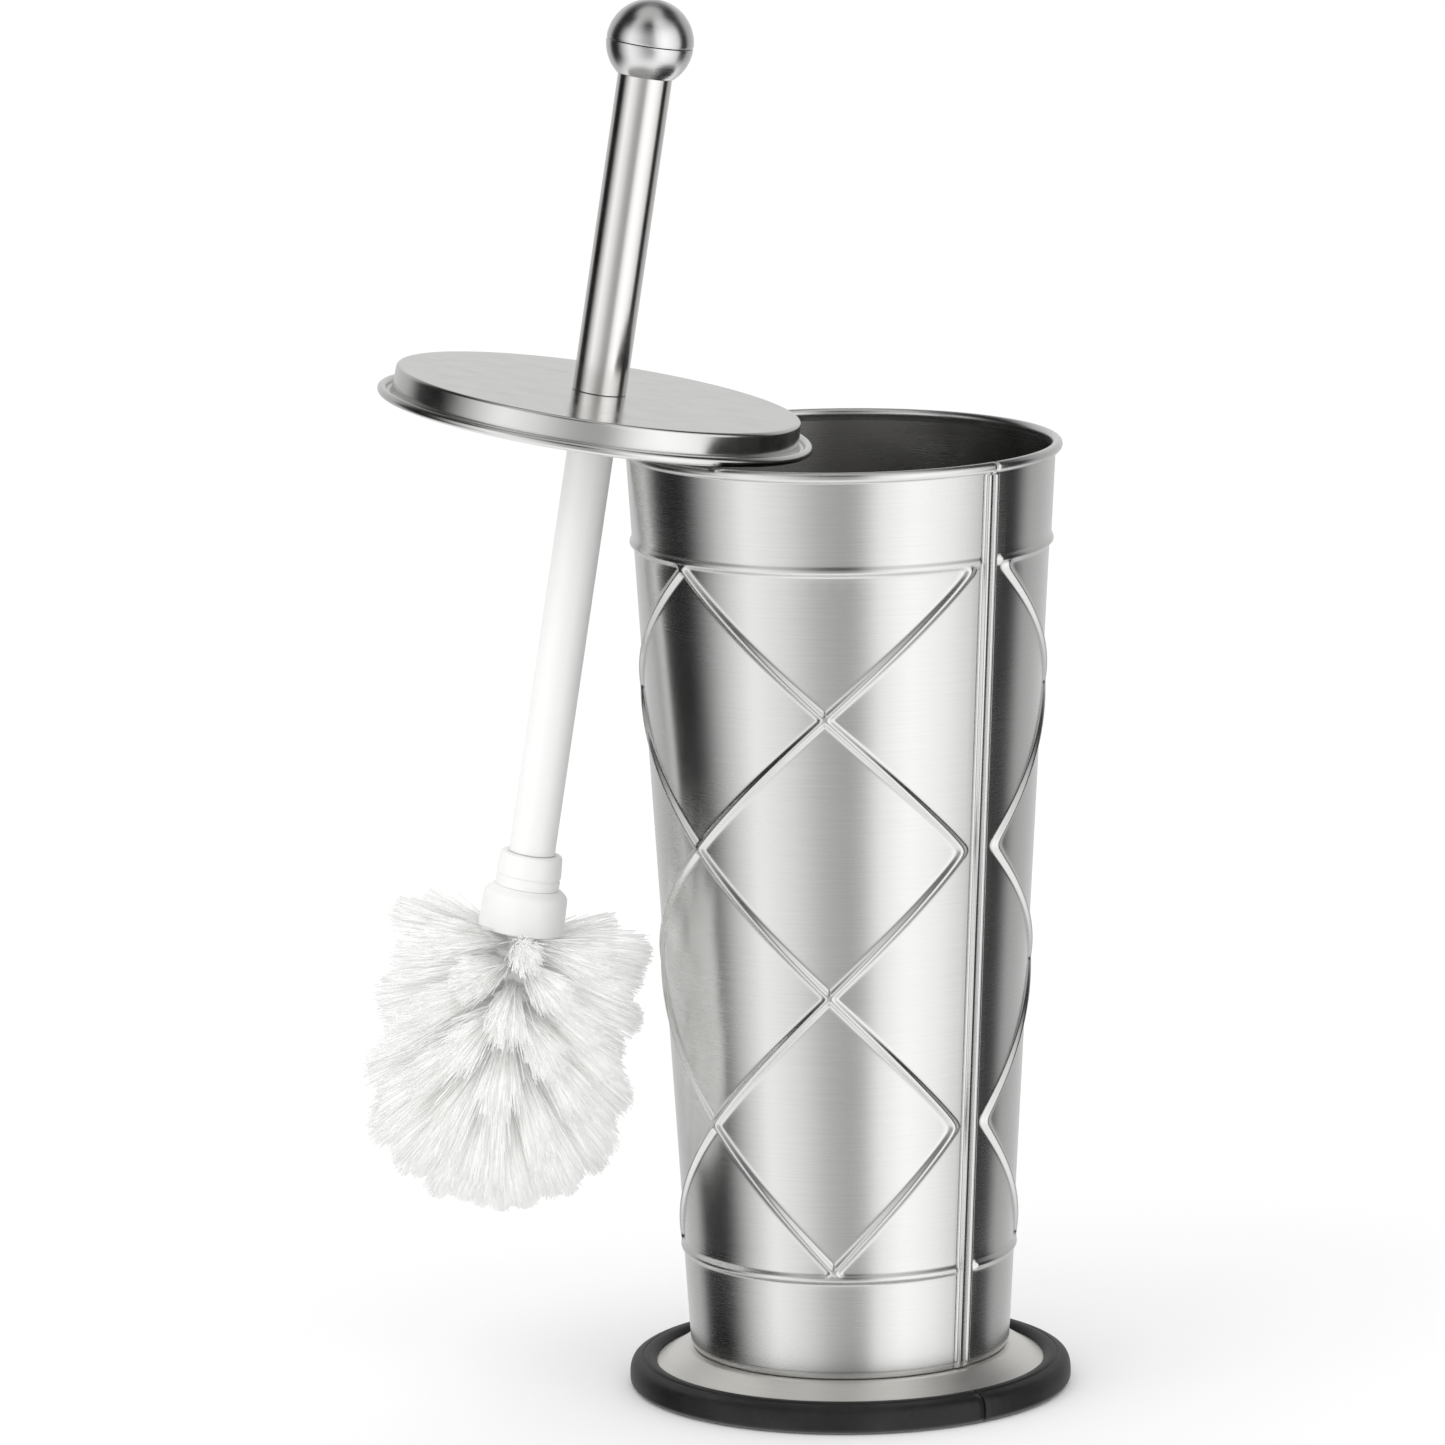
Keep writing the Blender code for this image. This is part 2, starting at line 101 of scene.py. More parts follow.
# ---------------------------------------------------------------- colours and nodes
def linear(hex_colour: str) -> tuple[float, float, float, float]:
    """Turns an sRGB hex colour into the linear colour that a shader takes.

    Args:
        hex_colour: Six hex digits, with or without a leading hash.

    Returns:
        Linear red, green and blue, and an alpha of one.
    """
    digits = hex_colour.lstrip("#")
    values = [int(digits[i:i + 2], 16) / 255.0 for i in (0, 2, 4)]
    red, green, blue = (v / 12.92 if v <= 0.04045 else ((v + 0.055) / 1.055) ** 2.4 for v in values)
    return red, green, blue, 1.0


def add_node(tree: bpy.types.NodeTree, kind: str, links: dict[str, Any] | None = None,
             inputs: dict[Any, Any] | None = None, **settings: Any) -> bpy.types.Node:
    """Adds one node with its settings, its constant inputs and the links that feed it.

    Args:
        tree: Node tree that the node goes in.
        kind: Blender's name for the node's type.
        links: Input name or index to the output socket that feeds it.
        inputs: Input name or index to a constant value.
        settings: Properties of the node itself.

    Returns:
        The new node.
    """
    node = tree.nodes.new(kind)
    for key, value in settings.items():
        setattr(node, key, value)
    for key, value in (inputs or {}).items():
        node.inputs[key].default_value = value
    for key, socket in (links or {}).items():
        tree.links.new(socket, node.inputs[key])
    return node


def set_ramp(node: bpy.types.Node, stops: Sequence[tuple[float, Any]]) -> None:
    """Gives a colour ramp its stops.

    Args:
        node: The ramp node.
        stops: Position from 0 to 1, and a grey level or a colour, in rising order.
    """
    elements = node.color_ramp.elements
    while len(elements) > 1:
        elements.remove(elements[-1])
    for index, (position, value) in enumerate(stops):
        element = elements[0] if index == 0 else elements.new(position)
        element.position = position
        element.color = (value, value, value, 1.0) if isinstance(value, float) else value


# ---------------------------------------------------------------- finishes
@dataclass(frozen=True)
class Finish:
    """A surface finish, made once as a Principled material."""

    name: str
    colour: str
    roughness: float
    metallic: float = 0.0

    def material(self) -> bpy.types.Material:
        """Returns the material of this finish, making it the first time it is asked for."""
        found = bpy.data.materials.get(self.name)
        if found:
            return found
        made = bpy.data.materials.new(self.name)
        made.use_nodes = True
        made.diffuse_color = linear(self.colour)
        shader = made.node_tree.nodes["Principled BSDF"]
        shader.inputs["Base Color"].default_value = linear(self.colour)
        shader.inputs["Roughness"].default_value = self.roughness
        shader.inputs["Metallic"].default_value = self.metallic
        self.detail(made.node_tree, shader)
        return made

    def detail(self, tree: bpy.types.NodeTree, shader: bpy.types.Node) -> None:
        """Adds what is particular to a finish. The plain finish has nothing more.

        Args:
            tree: The material's node tree.
            shader: Its Principled node.
        """


@dataclass(frozen=True)
class BrushedSteel(Finish):
    """Stainless sheet drawn through an abrasive belt: fine scratches along the rolling direction.

    The scratches run along the surface's U, round the wall. They spread a highlight across
    themselves, so the wall shows upright soft bands, and break its edges into fine level streaks.
    The sheet's other face, marked by a U beyond half the inside shift, is given a darker colour: painted
    shade for the inside of the canister.
    """

    streak_length: float = 24.0 * MM
    streak_width: float = 0.55 * MM     # real scratches are finer; this is as fine as can be seen
    anisotropy: float = 0.78
    # Painted shade: the inner face is given this darker colour for the shade inside the canister.
    painted_inside_shade: str = "#8d8c8a"

    def detail(self, tree: bpy.types.NodeTree, shader: bpy.types.Node) -> None:
        """Adds the scratches to the roughness, the colour and the relief."""
        place = add_node(tree, "ShaderNodeUVMap", uv_map=UV_NAME)
        scratch_size = (1.0 / self.streak_length, 1.0 / self.streak_width, 1.0)
        scratches = add_node(tree, "ShaderNodeMapping", {"Vector": place.outputs["UV"]},
                             {"Scale": scratch_size})
        fine = add_node(tree, "ShaderNodeTexNoise", {"Vector": scratches.outputs["Vector"]},
                        {"Scale": 1.0, "Detail": 3.0, "Roughness": 0.65})
        broad = add_node(tree, "ShaderNodeTexNoise", {"Vector": place.outputs["UV"]},
                         {"Scale": 22.0, "Detail": 2.0})
        mixed = add_node(tree, "ShaderNodeMath", {0: fine.outputs["Fac"], 1: broad.outputs["Fac"]},
                         {2: 0.5}, operation="MULTIPLY_ADD")
        low, high = self.roughness - 0.05, self.roughness + 0.07
        rough = add_node(tree, "ShaderNodeMapRange", {"Value": mixed.outputs[0]},
                         {"From Min": 0.45, "From Max": 1.05, "To Min": low, "To Max": high})
        tree.links.new(rough.outputs["Result"], shader.inputs["Roughness"])
        tint = add_node(tree, "ShaderNodeValToRGB", {"Fac": fine.outputs["Fac"]})
        base = linear(self.colour)
        set_ramp(tint, [(0.30, tuple(0.955 * c for c in base[:3]) + (1.0,)), (0.62, base)])
        across = add_node(tree, "ShaderNodeSeparateXYZ", {"Vector": place.outputs["UV"]})
        # The inner face's mask: there the colour is painted darker, as shade.
        inside = add_node(tree, "ShaderNodeMath", {0: across.outputs["X"]}, {1: 0.5 * INSIDE_SHIFT},
                          operation="GREATER_THAN")
        both = add_node(tree, "ShaderNodeMix", {"Factor": inside.outputs[0], 6: tint.outputs["Color"]},
                        {7: linear(self.painted_inside_shade)}, data_type="RGBA")
        tree.links.new(both.outputs[2], shader.inputs["Base Color"])
        bump = add_node(tree, "ShaderNodeBump", {"Height": fine.outputs["Fac"]},
                        {"Strength": 0.045, "Distance": 0.05 * MM})
        tree.links.new(bump.outputs["Normal"], shader.inputs["Normal"])
        along = add_node(tree, "ShaderNodeTangent", direction_type="UV_MAP", uv_map=UV_NAME)
        tree.links.new(along.outputs["Tangent"], shader.inputs["Tangent"])
        shader.inputs["Anisotropic"].default_value = self.anisotropy
        shader.inputs["Anisotropic Rotation"].default_value = 0.25


@dataclass(frozen=True)
class PolishedSteel(Finish):
    """Stainless sheet buffed bright: a clear mirror with a faint haze, wipe marks and hairlines."""

    haze_size: float = 9.0 * MM
    hairline_width: float = 0.35 * MM

    def detail(self, tree: bpy.types.NodeTree, shader: bpy.types.Node) -> None:
        """Adds the haze to the roughness and the hairlines to the relief."""
        place = add_node(tree, "ShaderNodeTexCoord")
        haze = add_node(tree, "ShaderNodeTexNoise", {"Vector": place.outputs["Object"]},
                        {"Scale": 1.0 / self.haze_size, "Detail": 4.0, "Roughness": 0.6})
        rough = add_node(tree, "ShaderNodeMapRange", {"Value": haze.outputs["Fac"]},
                         {"From Min": 0.35, "From Max": 0.75, "To Min": 0.88 * self.roughness,
                          "To Max": 1.25 * self.roughness})
        tree.links.new(rough.outputs["Result"], shader.inputs["Roughness"])
        lines = add_node(tree, "ShaderNodeMapping", {"Vector": place.outputs["Object"]},
                         {"Scale": (60.0, 60.0, 1.0 / self.hairline_width)})
        hair = add_node(tree, "ShaderNodeTexNoise", {"Vector": lines.outputs["Vector"]},
                        {"Scale": 1.0, "Detail": 2.0})
        bump = add_node(tree, "ShaderNodeBump", {"Height": hair.outputs["Fac"]},
                        {"Strength": 0.03, "Distance": 0.02 * MM})
        tree.links.new(bump.outputs["Normal"], shader.inputs["Normal"])


@dataclass(frozen=True)
class MouldedPlastic(Finish):
    """Injection-moulded polypropylene: an even satin skin with a soft orange-peel ripple."""

    ripple_size: float = 1.6 * MM

    def detail(self, tree: bpy.types.NodeTree, shader: bpy.types.Node) -> None:
        """Adds the skin's ripple and its slight unevenness of gloss."""
        place = add_node(tree, "ShaderNodeTexCoord")
        ripple = add_node(tree, "ShaderNodeTexNoise", {"Vector": place.outputs["Object"]},
                          {"Scale": 1.0 / self.ripple_size, "Detail": 2.0})
        rough = add_node(tree, "ShaderNodeMapRange", {"Value": ripple.outputs["Fac"]},
                         {"To Min": self.roughness - 0.06, "To Max": self.roughness + 0.08})
        tree.links.new(rough.outputs["Result"], shader.inputs["Roughness"])
        bump = add_node(tree, "ShaderNodeBump", {"Height": ripple.outputs["Fac"]},
                        {"Strength": 0.08, "Distance": 0.04 * MM})
        tree.links.new(bump.outputs["Normal"], shader.inputs["Normal"])
        shader.inputs["IOR"].default_value = 1.49


@dataclass(frozen=True)
class ExtrudedRubber(Finish):
    """Black extruded EPDM trim: dull, with a bloom of grey dust and faint lines along its length."""

    bloom: str = "#222222"
    speck_size: float = 0.9 * MM

    def detail(self, tree: bpy.types.NodeTree, shader: bpy.types.Node) -> None:
        """Adds the grey bloom and a fine grain."""
        place = add_node(tree, "ShaderNodeTexCoord")
        cloud = add_node(tree, "ShaderNodeTexNoise", {"Vector": place.outputs["Object"]},
                         {"Scale": 60.0, "Detail": 5.0, "Roughness": 0.7})
        tone = add_node(tree, "ShaderNodeValToRGB", {"Fac": cloud.outputs["Fac"]})
        set_ramp(tone, [(0.38, linear(self.colour)), (0.72, linear(self.bloom))])
        tree.links.new(tone.outputs["Color"], shader.inputs["Base Color"])
        grain = add_node(tree, "ShaderNodeTexNoise", {"Vector": place.outputs["Object"]},
                         {"Scale": 1.0 / self.speck_size, "Detail": 2.0})
        bump = add_node(tree, "ShaderNodeBump", {"Height": grain.outputs["Fac"]},
                        {"Strength": 0.25, "Distance": 0.05 * MM})
        tree.links.new(bump.outputs["Normal"], shader.inputs["Normal"])
        shader.inputs["IOR"].default_value = 1.52
        shader.inputs["Specular IOR Level"].default_value = 0.35


@dataclass(frozen=True)
class NylonFilament(Finish):
    """Drawn nylon 6 filament: milky, glossy along its length, each one a shade off its neighbour.

    U is a filament's own number and V the share of its length: a painted glow, standing in for light passed
    between filaments, is strongest at the ends and dimmer at the roots as painted shade.
    """

    shade: str = "#e0e0de"
    passing: float = 0.35               # share of the light that goes through
    painted_glow: float = 0.40                  # painted glow at the ends: emission standing in for light handed on from filament to filament
    root_glow_share: float = 0.34            # share of the painted glow left at the roots: painted shade there

    def detail(self, tree: bpy.types.NodeTree, shader: bpy.types.Node) -> None:
        """Varies the milkiness from one filament to the next, lets light through, and adds a painted glow
        that fades towards the roots.
        """
        place = add_node(tree, "ShaderNodeUVMap", uv_map=UV_NAME)
        parts = add_node(tree, "ShaderNodeSeparateXYZ", {"Vector": place.outputs["UV"]})
        spread = add_node(tree, "ShaderNodeTexWhiteNoise", {"W": parts.outputs["X"]}, noise_dimensions="1D")
        # Painted glow: emission strength rising from the roots to the ends, painted light at the ends and
        # painted shade at the roots.
        painted_glow_strength = add_node(tree, "ShaderNodeMapRange", {"Value": parts.outputs["Y"]},
                       {"From Min": 0.15, "From Max": 0.95, "To Min": self.root_glow_share * self.painted_glow,
                        "To Max": self.painted_glow})
        tone = add_node(tree, "ShaderNodeValToRGB", {"Fac": spread.outputs["Value"]})
        set_ramp(tone, [(0.0, linear(self.shade)), (1.0, linear(self.colour))])
        tree.links.new(tone.outputs["Color"], shader.inputs["Base Color"])
        # The filaments glow with their own tone though they are no lamp: painted light.
        tree.links.new(tone.outputs["Color"], shader.inputs["Emission Color"])
        tree.links.new(painted_glow_strength.outputs["Result"], shader.inputs["Emission Strength"])
        shader.inputs["IOR"].default_value = 1.53
        through = add_node(tree, "ShaderNodeBsdfTranslucent", {"Color": tone.outputs["Color"]})
        both = add_node(tree, "ShaderNodeMixShader",
                        {1: shader.outputs["BSDF"], 2: through.outputs["BSDF"]}, {0: self.passing})
        tree.links.new(both.outputs["Shader"], tree.nodes["Material Output"].inputs["Surface"])


# Each of these is one real material; what follows says what it gives the eye.
# The wall: upright soft bands of light, broken into level hairlines.
WALL_STEEL = BrushedSteel("belt_brushed_stainless", "#d5d5d4", 0.25, 1.0)
# The plate: the same sheet spun under the abrasive, so it is softer; its paler colour is painted light that
# brightens it.
PLATE_STEEL = BrushedSteel("lathe_brushed_stainless", "#f5f3ef", 0.42, 1.0, anisotropy=0.45)
# The ball: spun in a buffing cup, with short soft highlights that end at its poles.
BALL_STEEL = BrushedSteel("spun_satin_stainless", "#d8d8d8", 0.24, 1.0, streak_length=9.0 * MM,
                          anisotropy=0.55)
# The tube: a near mirror, with soft edges to the dark and light stripes along it.
BRIGHT_STEEL = PolishedSteel("buffed_stainless", "#dcdad8", 0.17, 1.0)
# The lid: a plain pale top that mirrors only what is close to it.
LID_STEEL = PolishedSteel("satin_buffed_stainless", "#d3d3d1", 0.20, 1.0)
# The trim: nearly black and dull, against which the steel looks bright.
TRIM_RUBBER = ExtrudedRubber("extruded_epdm_rubber", "#0c0c0c", 0.46)
# The stem, its collar and the socket: bright white with a soft sheen.
WHITE_PLASTIC = MouldedPlastic("moulded_white_polypropylene", "#f6f6f4", 0.34)
# The plugs inside the tube, hardly seen.
BLACK_PLASTIC = MouldedPlastic("moulded_black_polypropylene", "#1a1a1b", 0.45)
# The bristles: a painted glow, standing in for light that goes from one to the next, keeps even the gaps
# pale.
NYLON = NylonFilament("drawn_white_nylon", "#ffffff", 0.38)
# The canister's floor, seen only from above.
FLOOR_STEEL = PolishedSteel("cold_rolled_stainless", "#b9b9b6", 0.34, 1.0)


# ---------------------------------------------------------------- surfaces
@dataclass
class Surface:
    """Points, faces into them, and a UV in metres for each point.

    A face has four corners, and one whose last two are the same is a triangle.
    """

    points: np.ndarray
    quads: np.ndarray
    uvs: np.ndarray

    @staticmethod
    def joined(parts: Sequence["Surface"]) -> "Surface":
        """Puts several surfaces into one, each keeping its own points.

        Args:
            parts: The surfaces.

        Returns:
            One surface.
        """
        starts = np.cumsum([0] + [len(part.points) for part in parts[:-1]])
        quads = [part.quads + start for part, start in zip(parts, starts)]
        return Surface(np.concatenate([p.points for p in parts]), np.concatenate(quads),
                       np.concatenate([p.uvs for p in parts]))


def grid(points: np.ndarray, uvs: np.ndarray) -> Surface:
    """Makes faces between the neighbours of a grid of points.

    Args:
        points: Rows by columns by three.
        uvs: Rows by columns by two.

    Returns:
        The surface, whose faces run along a row, then to the next row.
    """
    rows, columns = points.shape[:2]
    index = np.arange(rows * columns).reshape(rows, columns)
    corners = (index[:-1, :-1], index[:-1, 1:], index[1:, 1:], index[1:, :-1])
    quads = np.stack([c.ravel() for c in corners], axis=1)
    return Surface(points.reshape(-1, 3), quads, uvs.reshape(-1, 2))


def smoothstep(low: float, high: float, value: np.ndarray) -> np.ndarray:
    """Rises from 0 at low to 1 at high as 3t squared less 2t cubed."""
    t = np.clip((value - low) / (high - low), 0.0, 1.0)
    return t * t * (3.0 - 2.0 * t)


def swell(distance: np.ndarray, half_width: float, power: float = 1.0) -> np.ndarray:
    """A rounded ridge: half of one and the cosine of distance over half width, to a power; 0 outside."""
    return (0.5 * (1.0 + np.cos(math.pi * np.clip(distance / half_width, -1.0, 1.0)))) ** power


def eased(corners: Sequence[tuple[float, float, float]], steps: int = 6) -> np.ndarray:
    """Rounds the corners of an outline with a quadratic curve in each.

    A corner's curve starts and ends its rounding distance away along the two sides, with a guard
    point just outside each end that keeps the flat beside it flat in the shading.

    Args:
        corners: Radius, height and rounding distance of each corner, in metres.
        steps: Segments in each rounded corner.

    Returns:
        The outline's points, two columns.
    """
    places = np.array([(r, h) for r, h, _ in corners])
    t = np.linspace(0.0, 1.0, steps + 1)[:, None]
    outline: list[np.ndarray] = []
    for index, (place, (_, _, ease)) in enumerate(zip(places, corners)):
        if ease <= 0.0 or index in (0, len(places) - 1):
            outline.append(place[None])
            continue
        back, ahead = places[index - 1] - place, places[index + 1] - place
        reach = min(ease, 0.48 * np.linalg.norm(back), 0.48 * np.linalg.norm(ahead))
        back, ahead = back / np.linalg.norm(back), ahead / np.linalg.norm(ahead)
        start, end = place + back * reach, place + ahead * reach
        curve = (1 - t) ** 2 * start + 2 * t * (1 - t) * place + t ** 2 * end
        guard = 0.04 * reach
        outline += [(start + back * guard)[None], curve, (end + ahead * guard)[None]]
    return np.concatenate(outline)


def arc(centre: tuple[float, float], radius: float, start: float, end: float, steps: int) -> np.ndarray:
    """Points of an arc in the half-plane of radius and height; angles in degrees from outwards."""
    angle = np.radians(np.linspace(start, end, steps + 1))
    return np.stack([centre[0] + radius * np.cos(angle), centre[1] + radius * np.sin(angle)], axis=1)


def turned(outline: np.ndarray, steps: int, closed: bool = False) -> Surface:
    """Carries an outline of radius and height round the axis.

    Args:
        outline: Points of the outline, two columns.
        steps: Segments in a turn.
        closed: Whether the outline's end joins its start.

    Returns:
        The surface; U runs round it and V along the outline, both in metres.
    """
    if closed:
        outline = np.vstack([outline, outline[:1]])
    angle = np.linspace(0.0, TURN, steps + 1)
    radius, height = outline[:, :1], outline[:, 1:]
    points = np.stack([radius * np.cos(angle), radius * np.sin(angle),
                       np.broadcast_to(height, (len(outline), steps + 1))], axis=2)
    along = np.concatenate([[0.0], np.cumsum(np.linalg.norm(np.diff(outline, axis=0), axis=1))])
    reach = float(outline[:, 0].max())
    uvs = np.stack(np.broadcast_arrays(angle[None] * reach, along[:, None]), axis=2)
    return grid(points, uvs)


def mesh_from(name: str, surface: Surface, weld: bool) -> bpy.types.Mesh:
    """Puts a surface into a mesh, joins what meets and turns its faces outwards.

    Args:
        name: Name of the mesh.
        surface: Its points, faces and UVs.
        weld: Whether points that meet are merged and the normals worked out again.

    Returns:
        The mesh, shaded smooth.
    """
    used = np.ones(surface.quads.shape, dtype=bool)
    used[:, 3] = surface.quads[:, 3] != surface.quads[:, 2]
    corners = surface.quads[used]
    starts = np.cumsum(used.sum(axis=1)) - used.sum(axis=1)
    mesh = bpy.data.meshes.new(name)
    mesh.vertices.add(len(surface.points))
    mesh.vertices.foreach_set("co", surface.points.astype(np.float32).ravel())
    mesh.loops.add(len(corners))
    mesh.loops.foreach_set("vertex_index", corners.astype(np.int32))
    mesh.polygons.add(len(starts))
    mesh.polygons.foreach_set("loop_start", starts.astype(np.int32))
    mesh.update(calc_edges=True)
    layer = mesh.uv_layers.new(name=UV_NAME)
    layer.data.foreach_set("uv", surface.uvs[corners].astype(np.float32).ravel())
    if weld:
        work = bmesh.new()
        work.from_mesh(mesh)
        bmesh.ops.remove_doubles(work, verts=work.verts, dist=WELD)
        bmesh.ops.dissolve_degenerate(work, edges=work.edges, dist=0.25 * WELD)
        bmesh.ops.recalc_face_normals(work, faces=work.faces)
        work.to_mesh(mesh)
        work.free()
    mesh.polygons.foreach_set("use_smooth", np.ones(len(mesh.polygons), dtype=bool))
    mesh.update()
    return mesh


# ---------------------------------------------------------------- sub-assemblies
@dataclass(kw_only=True)
class SubAssembly:
    """A group of pieces that ride on one body."""

    body: Body

    def piece(self, name: str, surface: Surface, finish: Finish, slot: Slot, nodes: Sequence[str],
              weld: bool = True) -> bpy.types.Object:
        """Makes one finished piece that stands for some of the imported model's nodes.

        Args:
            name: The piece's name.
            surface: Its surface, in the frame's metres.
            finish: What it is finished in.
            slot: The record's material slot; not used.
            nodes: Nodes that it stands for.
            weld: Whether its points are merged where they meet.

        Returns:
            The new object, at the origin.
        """
        obj = bpy.data.objects.new(name, mesh_from(name, surface, weld))
        bpy.context.scene.collection.objects.link(obj)
        obj.data.materials.append(finish.material())
        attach(obj, self.body.value)
        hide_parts(*nodes)
        LOG.info("%s: %d faces on %s", name, len(obj.data.polygons), self.body.value)
        return obj


def dress(node: str, finish: Finish) -> None:
    """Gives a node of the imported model, which stays as it is, its finish.

    Args:
        node: The node's name.
        finish: What it is finished in.
    """
    obj = bpy.data.objects[node]
    if not obj.material_slots:
        obj.data.materials.append(finish.material())
    for place in obj.material_slots:
        place.material = finish.material()


@dataclass(kw_only=True)
class Canister(SubAssembly):
    """The tapered wall: plain bands, two beads, a panel of crossed ribs, a lock seam and a rolled rim."""

    body: Body = Body.HOLDER
    foot_radius: float = 46.1 * MM
    slope: float = 0.0583
    sheet: float = 0.6 * MM
    rim_bead: float = 1.5 * MM
    nick_half: float = 0.6 * MM         # the rim's rolled edge is nicked where the seam meets it
    nick_share: float = 0.28
    top_bead_z: float = 247.5 * MM
    bottom_bead_z: float = 41.4 * MM
    bead_half: float = 2.0 * MM
    panel_inset: float = 0.4 * MM
    tuck_height: float = 2.4 * MM       # the foot's edge turns in over this height
    tuck_depth: float = 1.1 * MM
    crest: float = 0.80 * MM            # how far beads and ribs stand out over the plain wall
    rib_half: float = 2.15 * MM
    rib_power: float = 1.5              # above 1 the ribs have a narrow crest
    seam_at: float = math.radians(43.5)
    seam_half: float = 2.1 * MM
    seam_height: float = 1.0 * MM
    groove_depth: float = 0.25 * MM
    bead_clear: float = 2.5 * MM        # the beads stop this far from the seam's middle
    bead_fade: float = 1.8 * MM
    panel_right: float = math.radians(37.53)
    column_step: float = math.radians(43.53)
    columns: int = 8
    rows: int = 5
    corner_ease: float = 1.4 * MM       # how far the ribs' outermost corners are cut back
    foot_z: float = field(init=False)
    rim_z: float = field(init=False)
    rim_radius: float = field(init=False)

    def __post_init__(self) -> None:
        """Reads the wall's height and the rim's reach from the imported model."""
        low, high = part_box("canister_wall")
        self.foot_z = low.z
        self.rim_z = high.z - self.rim_bead
        self.rim_radius = high.x - self.rim_bead

    @property
    def panel_top(self) -> float:
        """Height where the ribbed panel meets the upper bead."""
        return self.top_bead_z - self.bead_half

    @property
    def row_step(self) -> float:
        """Height of half a diamond."""
        return (self.panel_top - self.bottom_bead_z - self.bead_half) / self.rows

    def cone(self, height: np.ndarray) -> np.ndarray:
        """Radius of the plain taper: the foot's radius and the slope times the height over it."""
        return self.foot_radius + self.slope * (height - self.foot_z)

    def ribs(self, turn: np.ndarray, height: np.ndarray) -> np.ndarray:
        """How much of the full rib stands at each point of the panel.

        With c columns counted from the panel's right edge and v rows from its top, the ribs lie
        where (v + c) / 2 or (v - c) / 2 is whole. A rib is a rounded ridge across its line, and two
        that cross give 1 - (1 - a)(1 - b). By the panel's ends each pair bends round a hyperbola.

        Args:
            turn: Angle round the axis from the front, in radians.
            height: Height.

        Returns:
            From 0 on the flat to 1 on a crest.
        """
        turn = np.where(turn > self.seam_at, turn - TURN, turn)
        column = (self.panel_right - turn) / self.column_step
        row = (self.panel_top - height) / self.row_step
        width, tall = self.cone(height) * self.column_step, self.row_step
        steepness = 0.5 * np.sqrt(1.0 / width ** 2 + 1.0 / tall ** 2)
        falling, rising = 0.5 * (row + column), 0.5 * (row - column)
        first = swell((falling - np.round(falling)) / steepness, self.rib_half, self.rib_power)
        second = swell((rising - np.round(rising)) / steepness, self.rib_half, self.rib_power)
        crossed = 1.0 - (1.0 - first) * (1.0 - second)
        inside = np.minimum(column, self.columns - column)
        ratio = tall / width
        up = (row - 2.0 * np.round(0.5 * row)) * tall / ratio
        bend = (inside * width - np.sqrt(up ** 2 + self.corner_ease ** 2)) * ratio
        cornered = swell(bend / np.sqrt(1.0 + ratio ** 2), self.rib_half, self.rib_power)
        near_end = 1.0 - smoothstep(0.30, 0.42, inside)
        return near_end * cornered + (1.0 - near_end) * crossed

    def relief(self, turn: np.ndarray, height: np.ndarray, side: Side) -> np.ndarray:
        """How far the sheet stands out over the plain taper.

        The panel lies in by its inset; beads and ribs rise from there to the crest's height. The
        lock seam is two folds side by side with a fine line between and a groove on its left: the
        left fold slopes down to the line, and the right one is a parabola with its top in its middle.

        Args:
            turn: Angle round the axis from the front, in radians.
            height: Height.
            side: Which face of the sheet.

        Returns:
            The stand-out in metres.
        """
        turn, height = np.broadcast_arrays(turn, height)
        across = (turn - self.seam_at) * self.cone(height)
        ease = 0.5 * self.bead_half
        low_bead, high_bead = self.bottom_bead_z, self.top_bead_z
        in_panel = smoothstep(low_bead - ease, low_bead + ease, height)
        in_panel = in_panel * (1.0 - smoothstep(high_bead - ease, high_bead + ease, height))
        beads = swell(height - high_bead, self.bead_half)
        beads = np.maximum(beads, swell(height - low_bead, self.bead_half))
        beads = beads * smoothstep(self.bead_clear, self.bead_clear + self.bead_fade, np.abs(across))
        ribs = self.ribs(turn, height) * smoothstep(low_bead - ease, low_bead + 2 * ease, height)
        ribs = ribs * (1.0 - smoothstep(high_bead - 2 * ease, high_bead + ease, height))
        raised = 1.0 - (1.0 - ribs) * (1.0 - beads)
        flat = -self.panel_inset * in_panel
        low = np.clip((self.foot_z + self.tuck_height - height) / self.tuck_height, 0.0, 1.0)
        tuck = self.tuck_depth * (1.0 - np.sqrt(1.0 - low ** 2))
        stand = flat + (self.crest - flat) * raised - tuck
        if side is Side.INNER:
            return stand - self.sheet
        edge = 0.12 * self.seam_half
        strip = smoothstep(-self.seam_half - edge, -self.seam_half + edge, across)
        strip = strip * (1.0 - smoothstep(self.seam_half - edge, self.seam_half + edge, across))
        share = across / self.seam_half
        left_fold = 0.50 - 0.28 * share
        right_fold = 1.0 - 1.4 * (share - 0.5) ** 2
        step = left_fold + (right_fold - left_fold) * smoothstep(-edge, edge, across)
        line = 0.55 * swell(across + 0.5 * edge, 1.3 * edge)
        groove = self.groove_depth * swell(across + 1.35 * self.seam_half, 0.35 * self.seam_half)
        fade = 1.0 - smoothstep(self.rim_z - 2.4 * MM, self.rim_z - 1.6 * MM, height)
        folded = self.seam_height * (step - line) - tuck
        stand = stand * (1.0 - strip * fade) + folded * strip * fade
        return stand - groove * fade

    def sheet_points(self, turn: np.ndarray, height: np.ndarray, side: Side) -> np.ndarray:
        """Places points of the sheet: radius is the taper plus the relief, angle is from the front."""
        turn, height = np.broadcast_arrays(turn, height)
        radius = self.cone(height) + self.relief(turn, height, side)
        return np.stack([radius * np.sin(turn), -radius * np.cos(turn), height], axis=-1)

